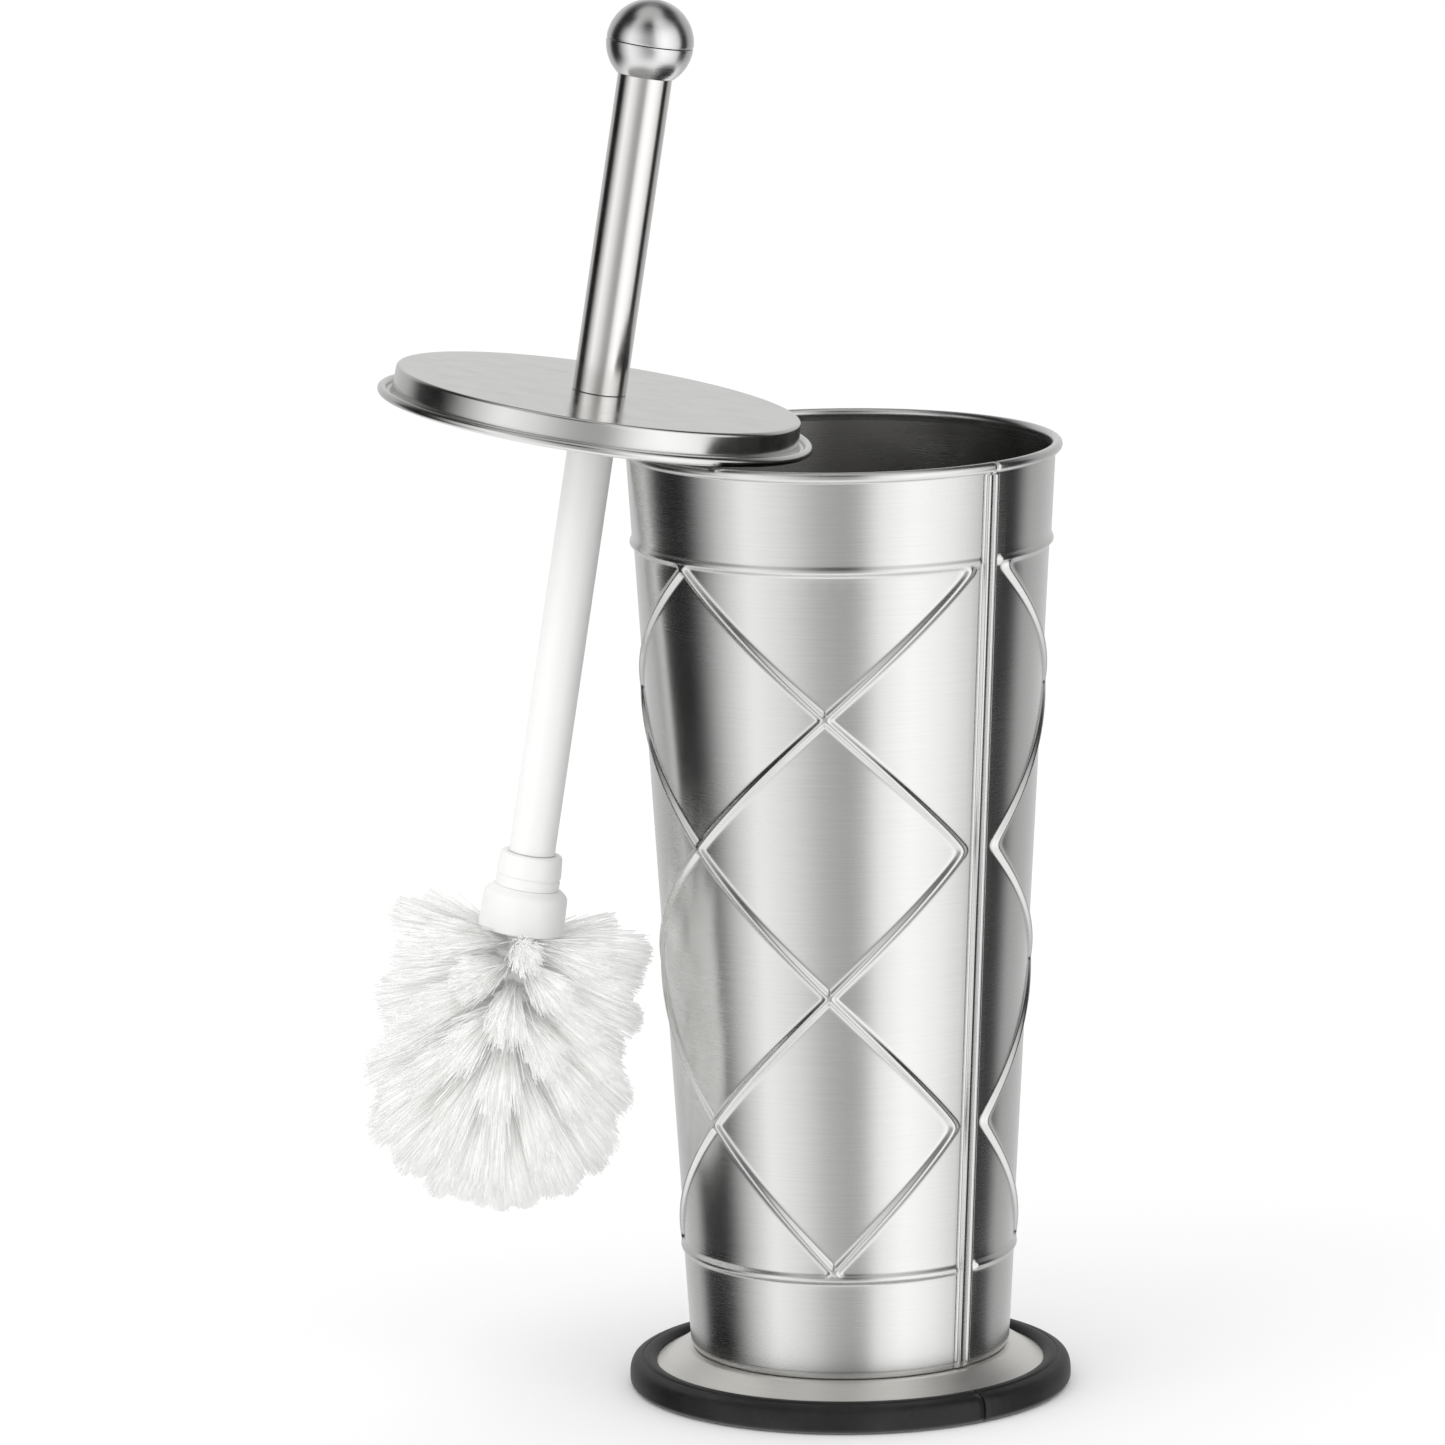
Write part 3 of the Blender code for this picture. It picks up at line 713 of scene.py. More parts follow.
    def sheet_uvs(self, turn: np.ndarray, height: np.ndarray) -> np.ndarray:
        """Lays the sheet flat: U is the angle times the middle radius, V the height."""
        turn, height = np.broadcast_arrays(turn, height)
        return np.stack([turn * self.cone(0.5 * (self.foot_z + self.rim_z)), height], axis=-1)

    def patch(self, turn: np.ndarray, height: np.ndarray, side: Side) -> Surface:
        """A patch of the sheet over a grid of angles and heights."""
        uvs = self.sheet_uvs(turn, height)
        uvs[..., 0] += INSIDE_SHIFT if side is Side.INNER else 0.0
        return grid(self.sheet_points(turn, height, side), uvs)

    def cell_steps(self) -> np.ndarray:
        """Places of the grid lines in one diamond, from 0 to 1: close together across the ribs.

        Returns:
            Rising numbers, the same read from either end.
        """
        close = np.linspace(0.0, 0.034, 9)
        wide = np.array([0.044, 0.060, 0.085, 0.12, 0.16, 0.21, 0.26, 0.32, 0.38, 0.44, 0.5])
        half = np.concatenate([close, wide])
        return np.concatenate([half, 1.0 - half[-2:0:-1]])

    def rib_lines(self, start: float, end: float) -> np.ndarray:
        """Grid lines of many cells between two half-whole numbers."""
        cells = np.arange(math.floor(start), math.ceil(end))
        lines = np.append((cells[:, None] + self.cell_steps()[None]).ravel(), float(math.ceil(end)))
        return lines[(lines > start - SLACK) & (lines < end + SLACK)]

    def panel(self, side: Side) -> Surface:
        """The ribbed panel on a grid whose lines follow the two families of ribs.

        With p = (v + c) / 2 and q = (v - c) / 2 the grid is square in p and q. Squares outside the
        panel are dropped, and the edge cuts the ones it meets along their diagonals.

        Args:
            side: Which face of the sheet.

        Returns:
            The panel's surface.
        """
        p = self.rib_lines(0.0, 0.5 * (self.rows + self.columns))
        q = self.rib_lines(-0.5 * self.columns, 0.5 * self.rows)
        falling, rising = np.meshgrid(p, q, indexing="ij")
        column, row = falling - rising, falling + rising
        surface = self.patch(self.panel_right - column * self.column_step,
                             self.panel_top - row * self.row_step, side)
        kept = (column > -SLACK) & (column < self.columns + SLACK)
        kept &= (row > -SLACK) & (row < self.rows + SLACK)
        held = kept.ravel()[surface.quads]
        whole = surface.quads[held.all(axis=1)]
        cut = surface.quads[held.sum(axis=1) == 3]
        lost = np.argmin(held[held.sum(axis=1) == 3], axis=1)
        turn_round = (lost[:, None] + np.arange(1, 5)[None]) % 4
        corners = np.take_along_axis(cut, turn_round, axis=1)
        corners[:, 3] = corners[:, 2]
        surface.quads = np.concatenate([whole, corners])
        return surface

    def seam_turns(self) -> np.ndarray:
        """Angles of the columns across the lock seam, close together at its edges."""
        spots = np.array([-1.75, -1.6, -1.48, -1.35, -1.22, -1.14, -1.08, -1.02, -0.96, -0.9, -0.8,
                          -0.5, -0.24, -0.18, -0.12, -0.06, 0.0, 0.06, 0.12, 0.2, 0.5, 0.8, 0.9,
                          0.96, 1.02, 1.08])
        mean_radius = self.cone(0.5 * (self.foot_z + self.rim_z))
        inner = self.seam_at + spots * self.seam_half / mean_radius
        left = self.panel_right
        right = self.panel_right - self.columns * self.column_step + TURN
        before = np.linspace(left, inner[0], 6)[:-1]
        after = np.linspace(inner[-1], right, 8)[1:]
        return np.concatenate([before, inner, after])

    def band_turns(self, phase: float) -> np.ndarray:
        """Angles of all columns of a plain band, matching the panel's edge points.

        Args:
            phase: 0 for the panel's top edge, whose ribs end at even columns, or 0.5 for its bottom.

        Returns:
            Rising angles over one whole turn.
        """
        lines = self.rib_lines(phase, phase + 0.5 * self.columns)
        panel = self.panel_right - 2.0 * (lines - phase) * self.column_step
        return np.concatenate([panel[::-1], self.seam_turns()[1:-1], [panel[-1] + TURN]])

    def shell(self) -> Surface:
        """The whole closed wall: both faces of the sheet, the rolled rim and the foot.

        Returns:
            One surface whose patches meet point to point.
        """
        side_rows = 2.0 * self.rib_lines(0.0, 0.5 * self.rows)
        side_heights = (self.panel_top - side_rows * self.row_step)[:, None]
        bead_rows = np.linspace(0.0, 2.0 * self.bead_half, 15)
        clear = 1.6 * self.bead_half
        tuck_top = self.foot_z + self.tuck_height
        upper = np.concatenate([self.panel_top + bead_rows,
                                np.linspace(self.top_bead_z + clear, self.rim_z - 2.6 * MM, 9),
                                np.linspace(self.rim_z - 2.4 * MM, self.rim_z - 1.7 * MM, 4)])
        lower = np.concatenate([self.bottom_bead_z + self.bead_half - bead_rows,
                                np.linspace(self.bottom_bead_z - clear, tuck_top, 8)[:-1],
                                np.linspace(tuck_top, self.foot_z + 0.3 * MM, 9)])
        top_turns, bottom_turns = self.band_turns(0.0)[None], self.band_turns(0.5)[None]
        parts = []
        for side in Side:
            parts += [self.panel(side), self.patch(self.seam_turns()[None], side_heights, side),
                      self.patch(top_turns, upper[:, None], side),
                      self.patch(bottom_turns, lower[:, None], side)]
        parts += [self.rim(top_turns[0], upper[-1]), self.foot(bottom_turns[0], lower[-1])]
        return Surface.joined(parts)

    def rim(self, turns: np.ndarray, start: float) -> Surface:
        """The rolled rim: from the wall's outside round a bead to its inside, nicked at the seam.

        Args:
            turns: Angles of the columns.
            start: Height where the rim leaves the wall.

        Returns:
            The rim's surface.
        """
        outside = self.sheet_points(turns, np.full_like(turns, start), Side.OUTER)
        inside = self.sheet_points(turns, np.full_like(turns, start), Side.INNER)
        across = (turns - self.seam_at) * self.rim_radius
        bead = self.rim_bead * (1.0 - self.nick_share * swell(across, self.nick_half))
        angle = np.radians(np.linspace(-62.0, 196.0, 27))[:, None]
        radius = self.rim_radius + bead[None] * np.cos(angle)
        height = self.rim_z + bead[None] * np.sin(angle)
        bead_points = np.stack([radius * np.sin(turns), -radius * np.cos(turns), height], axis=2)
        points = np.concatenate([outside[None], bead_points, inside[None]])
        uvs = self.sheet_uvs(turns[None], np.linspace(start, start + 9.0 * MM, len(points))[:, None])
        return grid(points, uvs)

    def foot(self, turns: np.ndarray, start: float) -> Surface:
        """The foot's rounded edge, from the outer face under the sheet to the inner one."""
        outside = self.sheet_points(turns, np.full_like(turns, start), Side.OUTER)
        inside = self.sheet_points(turns, np.full_like(turns, start), Side.INNER)
        share = np.linspace(0.0, 1.0, 7)[:, None, None]
        points = outside[None] * (1.0 - share) + inside[None] * share
        points[..., 2] -= (start - self.foot_z) * np.sin(math.pi * share[..., 0]) ** 0.5
        uvs = self.sheet_uvs(turns[None], np.linspace(start, start - 1.0 * MM, 7)[:, None])
        return grid(points, uvs)

    def build(self) -> None:
        """Makes the wall, and dresses the floor inside it and the rivets."""
        self.piece("canister_shell", self.shell(), WALL_STEEL, Slot.BRUSHED, ["canister_wall"])
        dress("canister_floor", FLOOR_STEEL)
        for number in (1, 2, 3):
            dress(f"base_rivet_{number}", BRIGHT_STEEL)


@dataclass(kw_only=True)
class Base(SubAssembly):
    """The pressed plate that the canister stands on, and the rubber trim round its edge."""

    body: Body = Body.HOLDER
    sheet: float = 0.6 * MM
    steps: int = 192
    lip_radius: float = 56.15 * MM      # the rubber's inner edge, over the plate
    slot_radius: float = 60.3 * MM      # how deep the plate's edge goes into the rubber
    joint_at: float = math.radians(36.0)
    joint_half: float = 0.35 * MM
    joint_depth: float = 0.7 * MM

    def plate(self) -> Surface:
        """The pressed plate: flat under the canister, sloping to a flat edge held by the rubber.

        Returns:
            The turned surface.
        """
        low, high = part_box("base_plate")
        top, edge, radius = high.z, low.z + self.sheet, high.x
        upper = [(0.0, top, 0.0), (46.6 * MM, top, 0.0), (48.0 * MM, top, 1.6 * MM),
                 (55.6 * MM, edge + 0.2 * MM, 2.2 * MM), (radius, edge, 0.15 * MM)]
        under = [(r, h - self.sheet, e) for r, h, e in reversed(upper)]
        return turned(eased(upper + under), self.steps)

    def trim(self) -> Surface:
        """The rubber trim: a rounded channel with a moulded line round it, butted where its ends meet.

        Near the joint each point sinks towards the section's middle by the joint's depth times a
        rounded ridge of its distance from the joint.

        Returns:
            The closed surface.
        """
        low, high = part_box("base_ring")
        radius, top = high.x, high.z
        lip, plate_edge = self.lip_radius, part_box("base_plate")[0].z + self.sheet
        corners = [
            (lip, plate_edge + 0.75 * MM, 0.0), (lip + 0.7 * MM, top - 0.45 * MM, 0.8 * MM),
            (lip + 2.0 * MM, top, 1.0 * MM), (lip + 3.4 * MM, top - 0.10 * MM, 0.5 * MM),
            (lip + 3.9 * MM, top - 0.75 * MM, 0.25 * MM), (lip + 4.4 * MM, top - 0.45 * MM, 0.4 * MM),
            (radius - 0.9 * MM, top - 1.3 * MM, 1.9 * MM), (radius, 4.6 * MM, 1.8 * MM),
            (radius - 0.1 * MM, 1.0 * MM, 1.6 * MM), (radius - 1.8 * MM, 0.0, 1.4 * MM),
            (lip + 0.3 * MM, 0.0, 0.3 * MM), (lip, 0.5 * MM, 0.3 * MM),
            (lip, plate_edge - 1.0 * MM, 0.1 * MM), (self.slot_radius, plate_edge - 1.0 * MM, 0.1 * MM),
            (self.slot_radius, plate_edge + 0.35 * MM, 0.1 * MM),
            (lip, plate_edge + 0.45 * MM, 0.1 * MM),
        ]
        outline = eased(corners, 5)
        outline = np.vstack([outline, outline[:1]])
        spots = np.linspace(-1.0, 1.0, 9) * self.joint_half / radius
        joint = self.joint_at - 0.25 * TURN
        rest = np.linspace(joint + spots[-1], joint + TURN + spots[0], self.steps)
        angle = np.concatenate([joint + spots, rest[1:]])
        ridge = swell((angle - joint) * radius, self.joint_half)
        ridge = ridge + swell((angle - joint - TURN) * radius, self.joint_half)
        middle = np.array([60.2 * MM, 4.0 * MM])
        inward = middle - outline
        inward /= np.linalg.norm(inward, axis=1, keepdims=True)
        place = outline[:, None] + inward[:, None] * (self.joint_depth * ridge)[None, :, None]
        radii, heights = place[..., 0], place[..., 1]
        points = np.stack([radii * np.cos(angle), radii * np.sin(angle), heights], axis=2)
        along = np.linspace(0.0, 30.0 * MM, len(outline))[:, None]
        return grid(points, np.stack(np.broadcast_arrays(angle[None] * radius, along), axis=2))

    def build(self) -> None:
        """Makes the plate and the trim, and dresses the ballast disc."""
        self.piece("pressed_plate", self.plate(), PLATE_STEEL, Slot.BRUSHED, ["base_plate"])
        self.piece("rubber_trim", self.trim(), TRIM_RUBBER, Slot.RUBBER, ["base_ring"])
        dress("base_core", BLACK_PLASTIC)


@dataclass
class BrushAxis:
    """The brush's own frame: its origin at the lid's centre and its height along the handle."""

    origin: np.ndarray
    turn: np.ndarray

    @staticmethod
    def from_record(record: dict[str, Any]) -> "BrushAxis":
        """Reads the axis of the handle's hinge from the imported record.

        Args:
            record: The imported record.

        Returns:
            The frame, whose X lies in the XZ plane.
        """
        joint = next(j for j in record["behaviour"]["joints"] if j["name"] == "handle_unscrew")
        up = np.array(joint["axis"], dtype=float)
        up /= np.linalg.norm(up)
        sideways = np.array([0.0, 1.0, 0.0])
        turn = np.stack([np.cross(sideways, up), sideways, up])
        return BrushAxis(np.array(joint["pos_m"], dtype=float), turn)

    def placed(self, surface: Surface) -> Surface:
        """Carries a surface from the brush's frame to the model's."""
        return Surface(surface.points @ self.turn + self.origin, surface.quads, surface.uvs)


@dataclass(kw_only=True)
class BrushPart(SubAssembly):
    """A sub-assembly whose pieces are made in the brush's own frame."""

    axis: BrushAxis

    def turned_piece(self, name: str, outline: np.ndarray, finish: Finish, slot: Slot, nodes: Sequence[str],
                     steps: int = 96, closed: bool = False) -> None:
        """Makes a piece turned about the handle's axis; see SubAssembly.piece for the other words."""
        self.piece(name, self.axis.placed(turned(outline, steps, closed)), finish, slot, nodes)


@dataclass(kw_only=True)
class Lid(BrushPart):
    """The pressed lid: raised top, sloping side, channel and rolled edge."""

    body: Body = Body.BRUSH
    radius: float = 62.7 * MM
    bead: float = 1.3 * MM
    top_radius: float = 58.2 * MM
    top: float = 8.9 * MM
    hole: float = 3.6 * MM
    sheet: float = 0.6 * MM

    def build(self) -> None:
        """Makes the lid, and dresses its washer and the stud through it."""
        channel = self.top_radius + 0.9 * MM
        upper = eased([
            (self.hole, self.top, 0.0), (self.hole + 0.3 * MM, self.top, 0.0),
            (self.top_radius, self.top, 1.1 * MM),
            (self.top_radius + 0.35 * MM, 1.9 * MM, 0.9 * MM), (channel, 0.9 * MM, 0.5 * MM),
            (channel + 0.4 * MM, 0.95 * MM, 0.0),
        ])
        edge = arc((self.radius - self.bead, self.bead), self.bead, 196.0, -128.0, 30)
        under = eased([
            (channel - 0.1 * MM, 0.35 * MM, 0.0), (self.top_radius - 0.2 * MM, 0.9 * MM, 0.5 * MM),
            (self.top_radius - self.sheet, self.top - self.sheet, 0.9 * MM),
            (self.hole + 0.3 * MM, self.top - self.sheet, 0.0), (self.hole, self.top - self.sheet, 0.0),
        ])
        outline = np.concatenate([upper, edge, under])
        self.turned_piece("pressed_lid", outline, LID_STEEL, Slot.POLISHED, ["lid"], 192, True)
        dress("lid_washer", TRIM_RUBBER)
        dress("stem_stud", BRIGHT_STEEL)


@dataclass(kw_only=True)
class Handle(BrushPart):
    """The polished tube with its ball end."""

    body: Body = Body.HANDLE
    tube_radius: float = 7.75 * MM
    tube_wall: float = 0.7 * MM
    start: float = 9.0 * MM
    end: float = 103.0 * MM
    ball_radius: float = 12.45 * MM
    ball_sheet: float = 0.8 * MM
    ball_centre: float = 109.6 * MM
    ball_seam: float = 0.15 * MM

    def half_ball(self, sign: float, neck: float) -> np.ndarray:
        """Section of one pressed cup: outer arc, rounded edge at the seam, inner arc.

        Args:
            sign: 1 for the upper cup, -1 for the lower.
            neck: Angle from the axis where the cup starts, in degrees: 0 for a closed one.

        Returns:
            The outline's points.
        """
        inner = self.ball_radius - self.ball_sheet
        lip = math.degrees(self.ball_seam / self.ball_radius)
        outside = arc((0.0, 0.0), self.ball_radius, 90.0 - neck, lip + 1.6, 36)
        edge = arc((0.0, 0.0), self.ball_radius - 0.12 * MM, lip + 0.6, lip, 2)
        inside = arc((0.0, 0.0), inner, lip, 90.0 - neck, 24)
        outline = np.concatenate([outside, edge, inside])
        outline[:, 1] = self.ball_centre + sign * outline[:, 1]
        return outline

    def build(self) -> None:
        """Makes the tube and both cups of the ball, and dresses the plugs inside."""
        inner = self.tube_radius - self.tube_wall
        tube = eased([
            (inner, self.start, 0.0), (self.tube_radius, self.start, 0.15 * MM),
            (self.tube_radius, self.end, 0.2 * MM), (inner, self.end, 0.1 * MM), (inner, self.start, 0.0),
        ])
        self.turned_piece("polished_tube", tube, BRIGHT_STEEL, Slot.POLISHED, ["handle_tube"], 96, True)
        upper = self.half_ball(1.0, 0.0)
        upper[0, 0] = upper[-1, 0] = 0.0
        self.turned_piece("ball_upper_cup", upper, BALL_STEEL, Slot.POLISHED, ["knob_upper"])
        neck = math.degrees(math.asin((self.tube_radius + 0.3 * MM) / self.ball_radius))
        self.turned_piece("ball_lower_cup", self.half_ball(-1.0, neck), BALL_STEEL, Slot.POLISHED,
                          ["knob_lower"], closed=True)
        for node in ("handle_insert", "knob_plug"):
            dress(node, BLACK_PLASTIC)


@dataclass(kw_only=True)
class Stem(BrushPart):
    """The moulded stem under the lid, with the collar at its end."""

    body: Body = Body.BRUSH
    radius: float = 6.7 * MM
    top: float = 6.7 * MM
    end: float = -126.2 * MM
    bore: float = 3.3 * MM
    bore_end: float = -20.0 * MM
    spigot: float = 5.0 * MM
    spigot_end: float = -150.0 * MM
    collar_radius: float = 9.4 * MM
    collar_top: float = -126.23 * MM
    collar_end: float = -136.2 * MM

    def build(self) -> None:
        """Makes the stem and its collar."""
        stem = eased([
            (0.0, self.bore_end, 0.0), (self.bore, self.bore_end, 0.1 * MM),
            (self.bore, self.top, 0.3 * MM), (self.radius, self.top, 0.5 * MM),
            (self.radius - 0.05 * MM, self.end, 0.1 * MM),
            (self.spigot, self.end, 0.1 * MM), (self.spigot, self.spigot_end, 0.5 * MM),
            (0.0, self.spigot_end, 0.0),
        ])
        self.turned_piece("moulded_stem", stem, WHITE_PLASTIC, Slot.WHITE, ["stem"])
        low, high, radius = self.collar_end, self.collar_top, self.collar_radius
        inner = self.spigot + 0.3 * MM
        collar = eased([
            (inner, high, 0.0), (radius - 0.5 * MM, high - 0.1 * MM, 0.9 * MM),
            (radius, low + 3.5 * MM, 0.25 * MM), (radius - 0.55 * MM, low + 3.2 * MM, 0.15 * MM),
            (radius - 0.55 * MM, low + 2.8 * MM, 0.15 * MM),
            (radius - 0.15 * MM, low + 2.5 * MM, 0.25 * MM),
            (radius - 0.25 * MM, low, 0.2 * MM), (inner, low, 0.0),
        ])
        self.turned_piece("moulded_collar", collar, WHITE_PLASTIC, Slot.WHITE, ["stem_collar"],
                          closed=True)


@dataclass(kw_only=True)
class BrushHead(BrushPart):
    """The screwed-on head: socket, core, and tufts of filaments that fan out from the core."""

    body: Body = Body.HEAD
    socket_top: float = -136.23 * MM
    socket_radius: float = 12.4 * MM
    socket_end: float = -149.0 * MM
    bore: float = 5.3 * MM
    core_radius: float = 5.8 * MM
    core_end: float = -210.0 * MM
    reach: float = 40.2 * MM            # bristle ends, from the axis
    bristle_top: float = -144.0 * MM
    shoulder: float = -203.0 * MM       # where the round end of the head begins
    tip: float = -230.5 * MM
    node_rows: int = 5
    tufts: int = 8                      # round the core in each ring
    slope_range: tuple[float, float] = (-6.0, 66.0)         # degrees below level, first and last ring
    spread_range: tuple[float, float] = (0.130, 0.088)      # of a tuft's fan, first and last ring
    filaments: int = 340                # in a tuft
    filament_radius: float = 0.17 * MM
    clumps: int = 9                     # bunches of filaments within a tuft
    clump_share: float = 0.72           # how much of a filament's lean its bunch decides
    own_share: float = 0.45
    rounding: float = 0.050             # how much shorter a tuft is trimmed off its middle
    stapled: float = 0.8 * MM           # how far a tuft's roots lie apart
    wander: float = 0.35 * MM           # how far a filament strays from its line
    segments: int = 5
    seed: int = 7

    def core(self) -> np.ndarray:
        """Section of the socket and the core under it."""
        return eased([
            (0.0, self.socket_end - 1.6 * MM, 0.0), (self.bore, self.socket_end - 1.6 * MM, 0.1 * MM),
            (self.bore, self.socket_top, 0.2 * MM), (9.6 * MM, self.socket_top, 0.4 * MM),
            (self.socket_radius - 0.3 * MM, self.socket_top - 1.9 * MM, 1.2 * MM),
            (self.socket_radius, self.socket_end, 0.5 * MM),
            (self.core_radius + 1.2 * MM, self.socket_end - 0.8 * MM, 1.0 * MM),
            (self.core_radius, self.socket_end - 3.6 * MM, 1.0 * MM),
            (self.core_radius, self.core_end, 1.5 * MM), (0.0, self.core_end, 0.0),
        ])

    def envelope(self, points: np.ndarray) -> np.ndarray:
        """How far out a point is in the head's outer shape: 1 on it, less inside.

        Above the shoulder the shape is a cylinder, and below it a rounded dome: the radius share and
        the depth share below the shoulder, each to the power 2.3, add up to 1.
        """
        out = np.hypot(points[..., 0], points[..., 1]) / self.reach
        deep = np.clip((self.shoulder - points[..., 2]) / (self.shoulder - self.tip), 0.0, None)
        over = np.clip((points[..., 2] - self.bristle_top) / (8.0 * MM), 0.0, None)
        return (out ** 2.3 + deep ** 2.3) ** (1.0 / 2.3) + over

    def fan(self, roots: np.ndarray, aims: np.ndarray, droop: np.ndarray, rng: np.random.Generator,
            shares: np.ndarray) -> Surface:
        """Grows one filament from each root along its aim to the head's outer shape.

        A filament is a three-sided tube that tapers a little, bends down by its droop times the
        square of the way along it, and wanders by a small sine.

        Args:
            roots: Start of each filament.
            aims: Its unit direction.
            droop: How far its end bends down.
            rng: Source of the seeded variation.
            shares: How much of the full length each one has.

        Returns:
            All the tubes as one surface; each has its own UV.
        """
        count = len(roots)
        low, high = np.zeros(count), np.full(count, 95.0 * MM)
        for _ in range(18):
            middle = 0.5 * (low + high)
            ends = roots + aims * middle[:, None]
            ends[:, 2] -= droop
            inside = self.envelope(ends) < 1.0
            low, high = np.where(inside, middle, low), np.where(inside, high, middle)
        length = low * shares
        t = np.linspace(0.0, 1.0, self.segments + 1)
        path = roots[:, None] + aims[:, None] * (length[:, None] * t)[..., None]
        path[..., 2] -= droop[:, None] * t ** 2
        side = np.cross(aims, rng.normal(size=(count, 3)))
        side /= np.linalg.norm(side, axis=1, keepdims=True)
        other = np.cross(aims, side)
        amount = rng.normal(0.0, self.wander, count)[:, None]
        sway = amount * np.sin(t * rng.uniform(2.0, 5.0, count)[:, None])
        path += side[:, None] * sway[..., None]
        angle = np.linspace(0.0, TURN, 3, endpoint=False)
        thick = self.filament_radius * (1.0 - 0.35 * t ** 3)
        ring = side[:, None] * np.cos(angle)[:, None] + other[:, None] * np.sin(angle)[:, None]
        points = path[:, :, None] + ring[:, None] * thick[None, :, None, None]
        index = np.arange(points[..., 0].size).reshape(points.shape[:3])
        after = np.roll(index, -1, axis=2)
        sides = np.stack([index[:, :-1], after[:, :-1], after[:, 1:], index[:, 1:]], axis=-1).reshape(-1, 4)
        own = rng.uniform(0.0, 1.0, (count, 1, 1))
        per_point = np.zeros(points.shape[:3])
        uvs = np.stack([own + per_point, t[None, :, None] + per_point], axis=-1)
        root_cap = index[:, 0][:, [0, 2, 1, 1]]
        tip_cap = index[:, -1][:, [0, 1, 2, 2]]
        faces = np.concatenate([sides, root_cap, tip_cap])
        return Surface(points.reshape(-1, 3), faces, uvs.reshape(-1, 2))

    def tuft(self, root: np.ndarray, aim: np.ndarray, spread: float, droop: float, count: int,
             rng: np.random.Generator) -> Surface:
        """One tuft: filaments that start together and fan out, in a few clumps.

        Each filament's direction is the tuft's, plus the spread times a share of its clump's own
        random lean and a share of its own. Its length is less the further off the middle it points,
        by the square, as in a tuft that is trimmed round.

        Args:
            root: Where the tuft is stapled into the core.
            aim: Its middle direction.
            spread: Standard deviation of the fan's angle, in radians.
            droop: How far its ends bend down.
            count: Number of filaments.
            rng: Source of the seeded variation.

        Returns:
            The tuft's surface.
        """
        clumps = rng.normal(0.0, 1.0, (self.clumps, 3))
        member = rng.integers(0, self.clumps, count)
        scatter = self.clump_share * clumps[member] + self.own_share * rng.normal(0.0, 1.0, (count, 3))
        aims = aim + spread * scatter
        aims /= np.linalg.norm(aims, axis=1, keepdims=True)
        scatter_limit = 2.0 * self.stapled
        offset = rng.normal(0.0, self.stapled, (count, 3))
        roots = root + np.clip(offset, -scatter_limit, scatter_limit)
        off = np.linalg.norm(np.cross(aims, aim), axis=1) / spread
        rounded = 1.0 - self.rounding * np.minimum(off, 2.4) ** 2
        trim = rng.uniform(0.93, 1.03) * (1.0 - 0.05 * rng.random(self.clumps)[member])
        shares = np.minimum(trim * rounded * (1.0 - 0.05 * rng.random(count) ** 2), 1.0)
        return self.fan(roots, aims, np.full(count, droop) * rng.uniform(0.6, 1.2, count), rng, shares)

    def ring_of_tufts(self, height: float, slope: float, spread: float, phase: float,
                      rng: np.random.Generator) -> list[Surface]:
        """The tufts of one ring round the core.

        Args:
            height: Height of the ring's roots.
            slope: Angle of the tufts below level, in radians.
            spread: Standard deviation of a tuft's fan, in radians.
            phase: Share of a tuft's spacing that the ring is turned by.
            rng: Source of the seeded variation.

        Returns:
            A surface for each tuft.
        """
        made = []
        for number in range(self.tufts):
            angle = TURN * (number + phase) / self.tufts + rng.normal(0.0, 0.03)
            out = np.array([math.cos(angle), math.sin(angle), 0.0])
            aim = out * math.cos(slope) - np.array([0.0, 0.0, math.sin(slope)])
            root = out * self.core_radius * 0.8 + np.array([0.0, 0.0, height])
            made.append(self.tuft(root, aim, spread, rng.uniform(0.5, 2.5) * MM, self.filaments, rng))
        return made

    def build(self) -> None:
        """Makes the core and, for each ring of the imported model, the tufts that stand for it."""
        self.turned_piece("moulded_socket", self.core(), WHITE_PLASTIC, Slot.WHITE, ["head_core"])
        rng = np.random.default_rng(self.seed)
        rings = 2 * self.node_rows
        heights = np.linspace(self.socket_end - 3.6 * MM, self.core_end + 4.0 * MM, rings)
        slopes = np.radians(np.linspace(*self.slope_range, rings))
        spreads = np.linspace(*self.spread_range, rings)
        for row in range(self.node_rows):
            parts: list[Surface] = []
            for ring in (2 * row, 2 * row + 1):
                phase = 0.5 * (ring % 2)
                parts += self.ring_of_tufts(heights[ring], slopes[ring], spreads[ring], phase, rng)
            surface = self.axis.placed(Surface.joined(parts))
            self.piece(f"bristle_tufts_{row + 1}", surface, NYLON, Slot.BRISTLES,
                       [f"bristle_row_{row + 1}"], weld=False)
        self.piece("bristle_tip_tufts", self.axis.placed(Surface.joined(self.tip_tufts(rng))), NYLON,
                   Slot.BRISTLES, ["bristle_tip"], weld=False)

    def tip_tufts(self, rng: np.random.Generator) -> list[Surface]:
        """The tufts stapled into the core's end: one straight down and a ring that leans out."""
        end = np.array([0.0, 0.0, self.core_end + 1.0 * MM])
        made = [self.tuft(end, np.array([0.0, 0.0, -1.0]), 0.13, 0.0, 2 * self.filaments, rng)]
        for number in range(self.tufts):
            angle = TURN * number / self.tufts
            out = np.array([math.cos(angle), math.sin(angle), 0.0])
            lean = math.radians(rng.uniform(24.0, 34.0))
            aim = out * math.sin(lean) - np.array([0.0, 0.0, math.cos(lean)])
            made.append(self.tuft(end + out * 0.6 * self.core_radius, aim, 0.11, 0.0, self.filaments, rng))
        return made


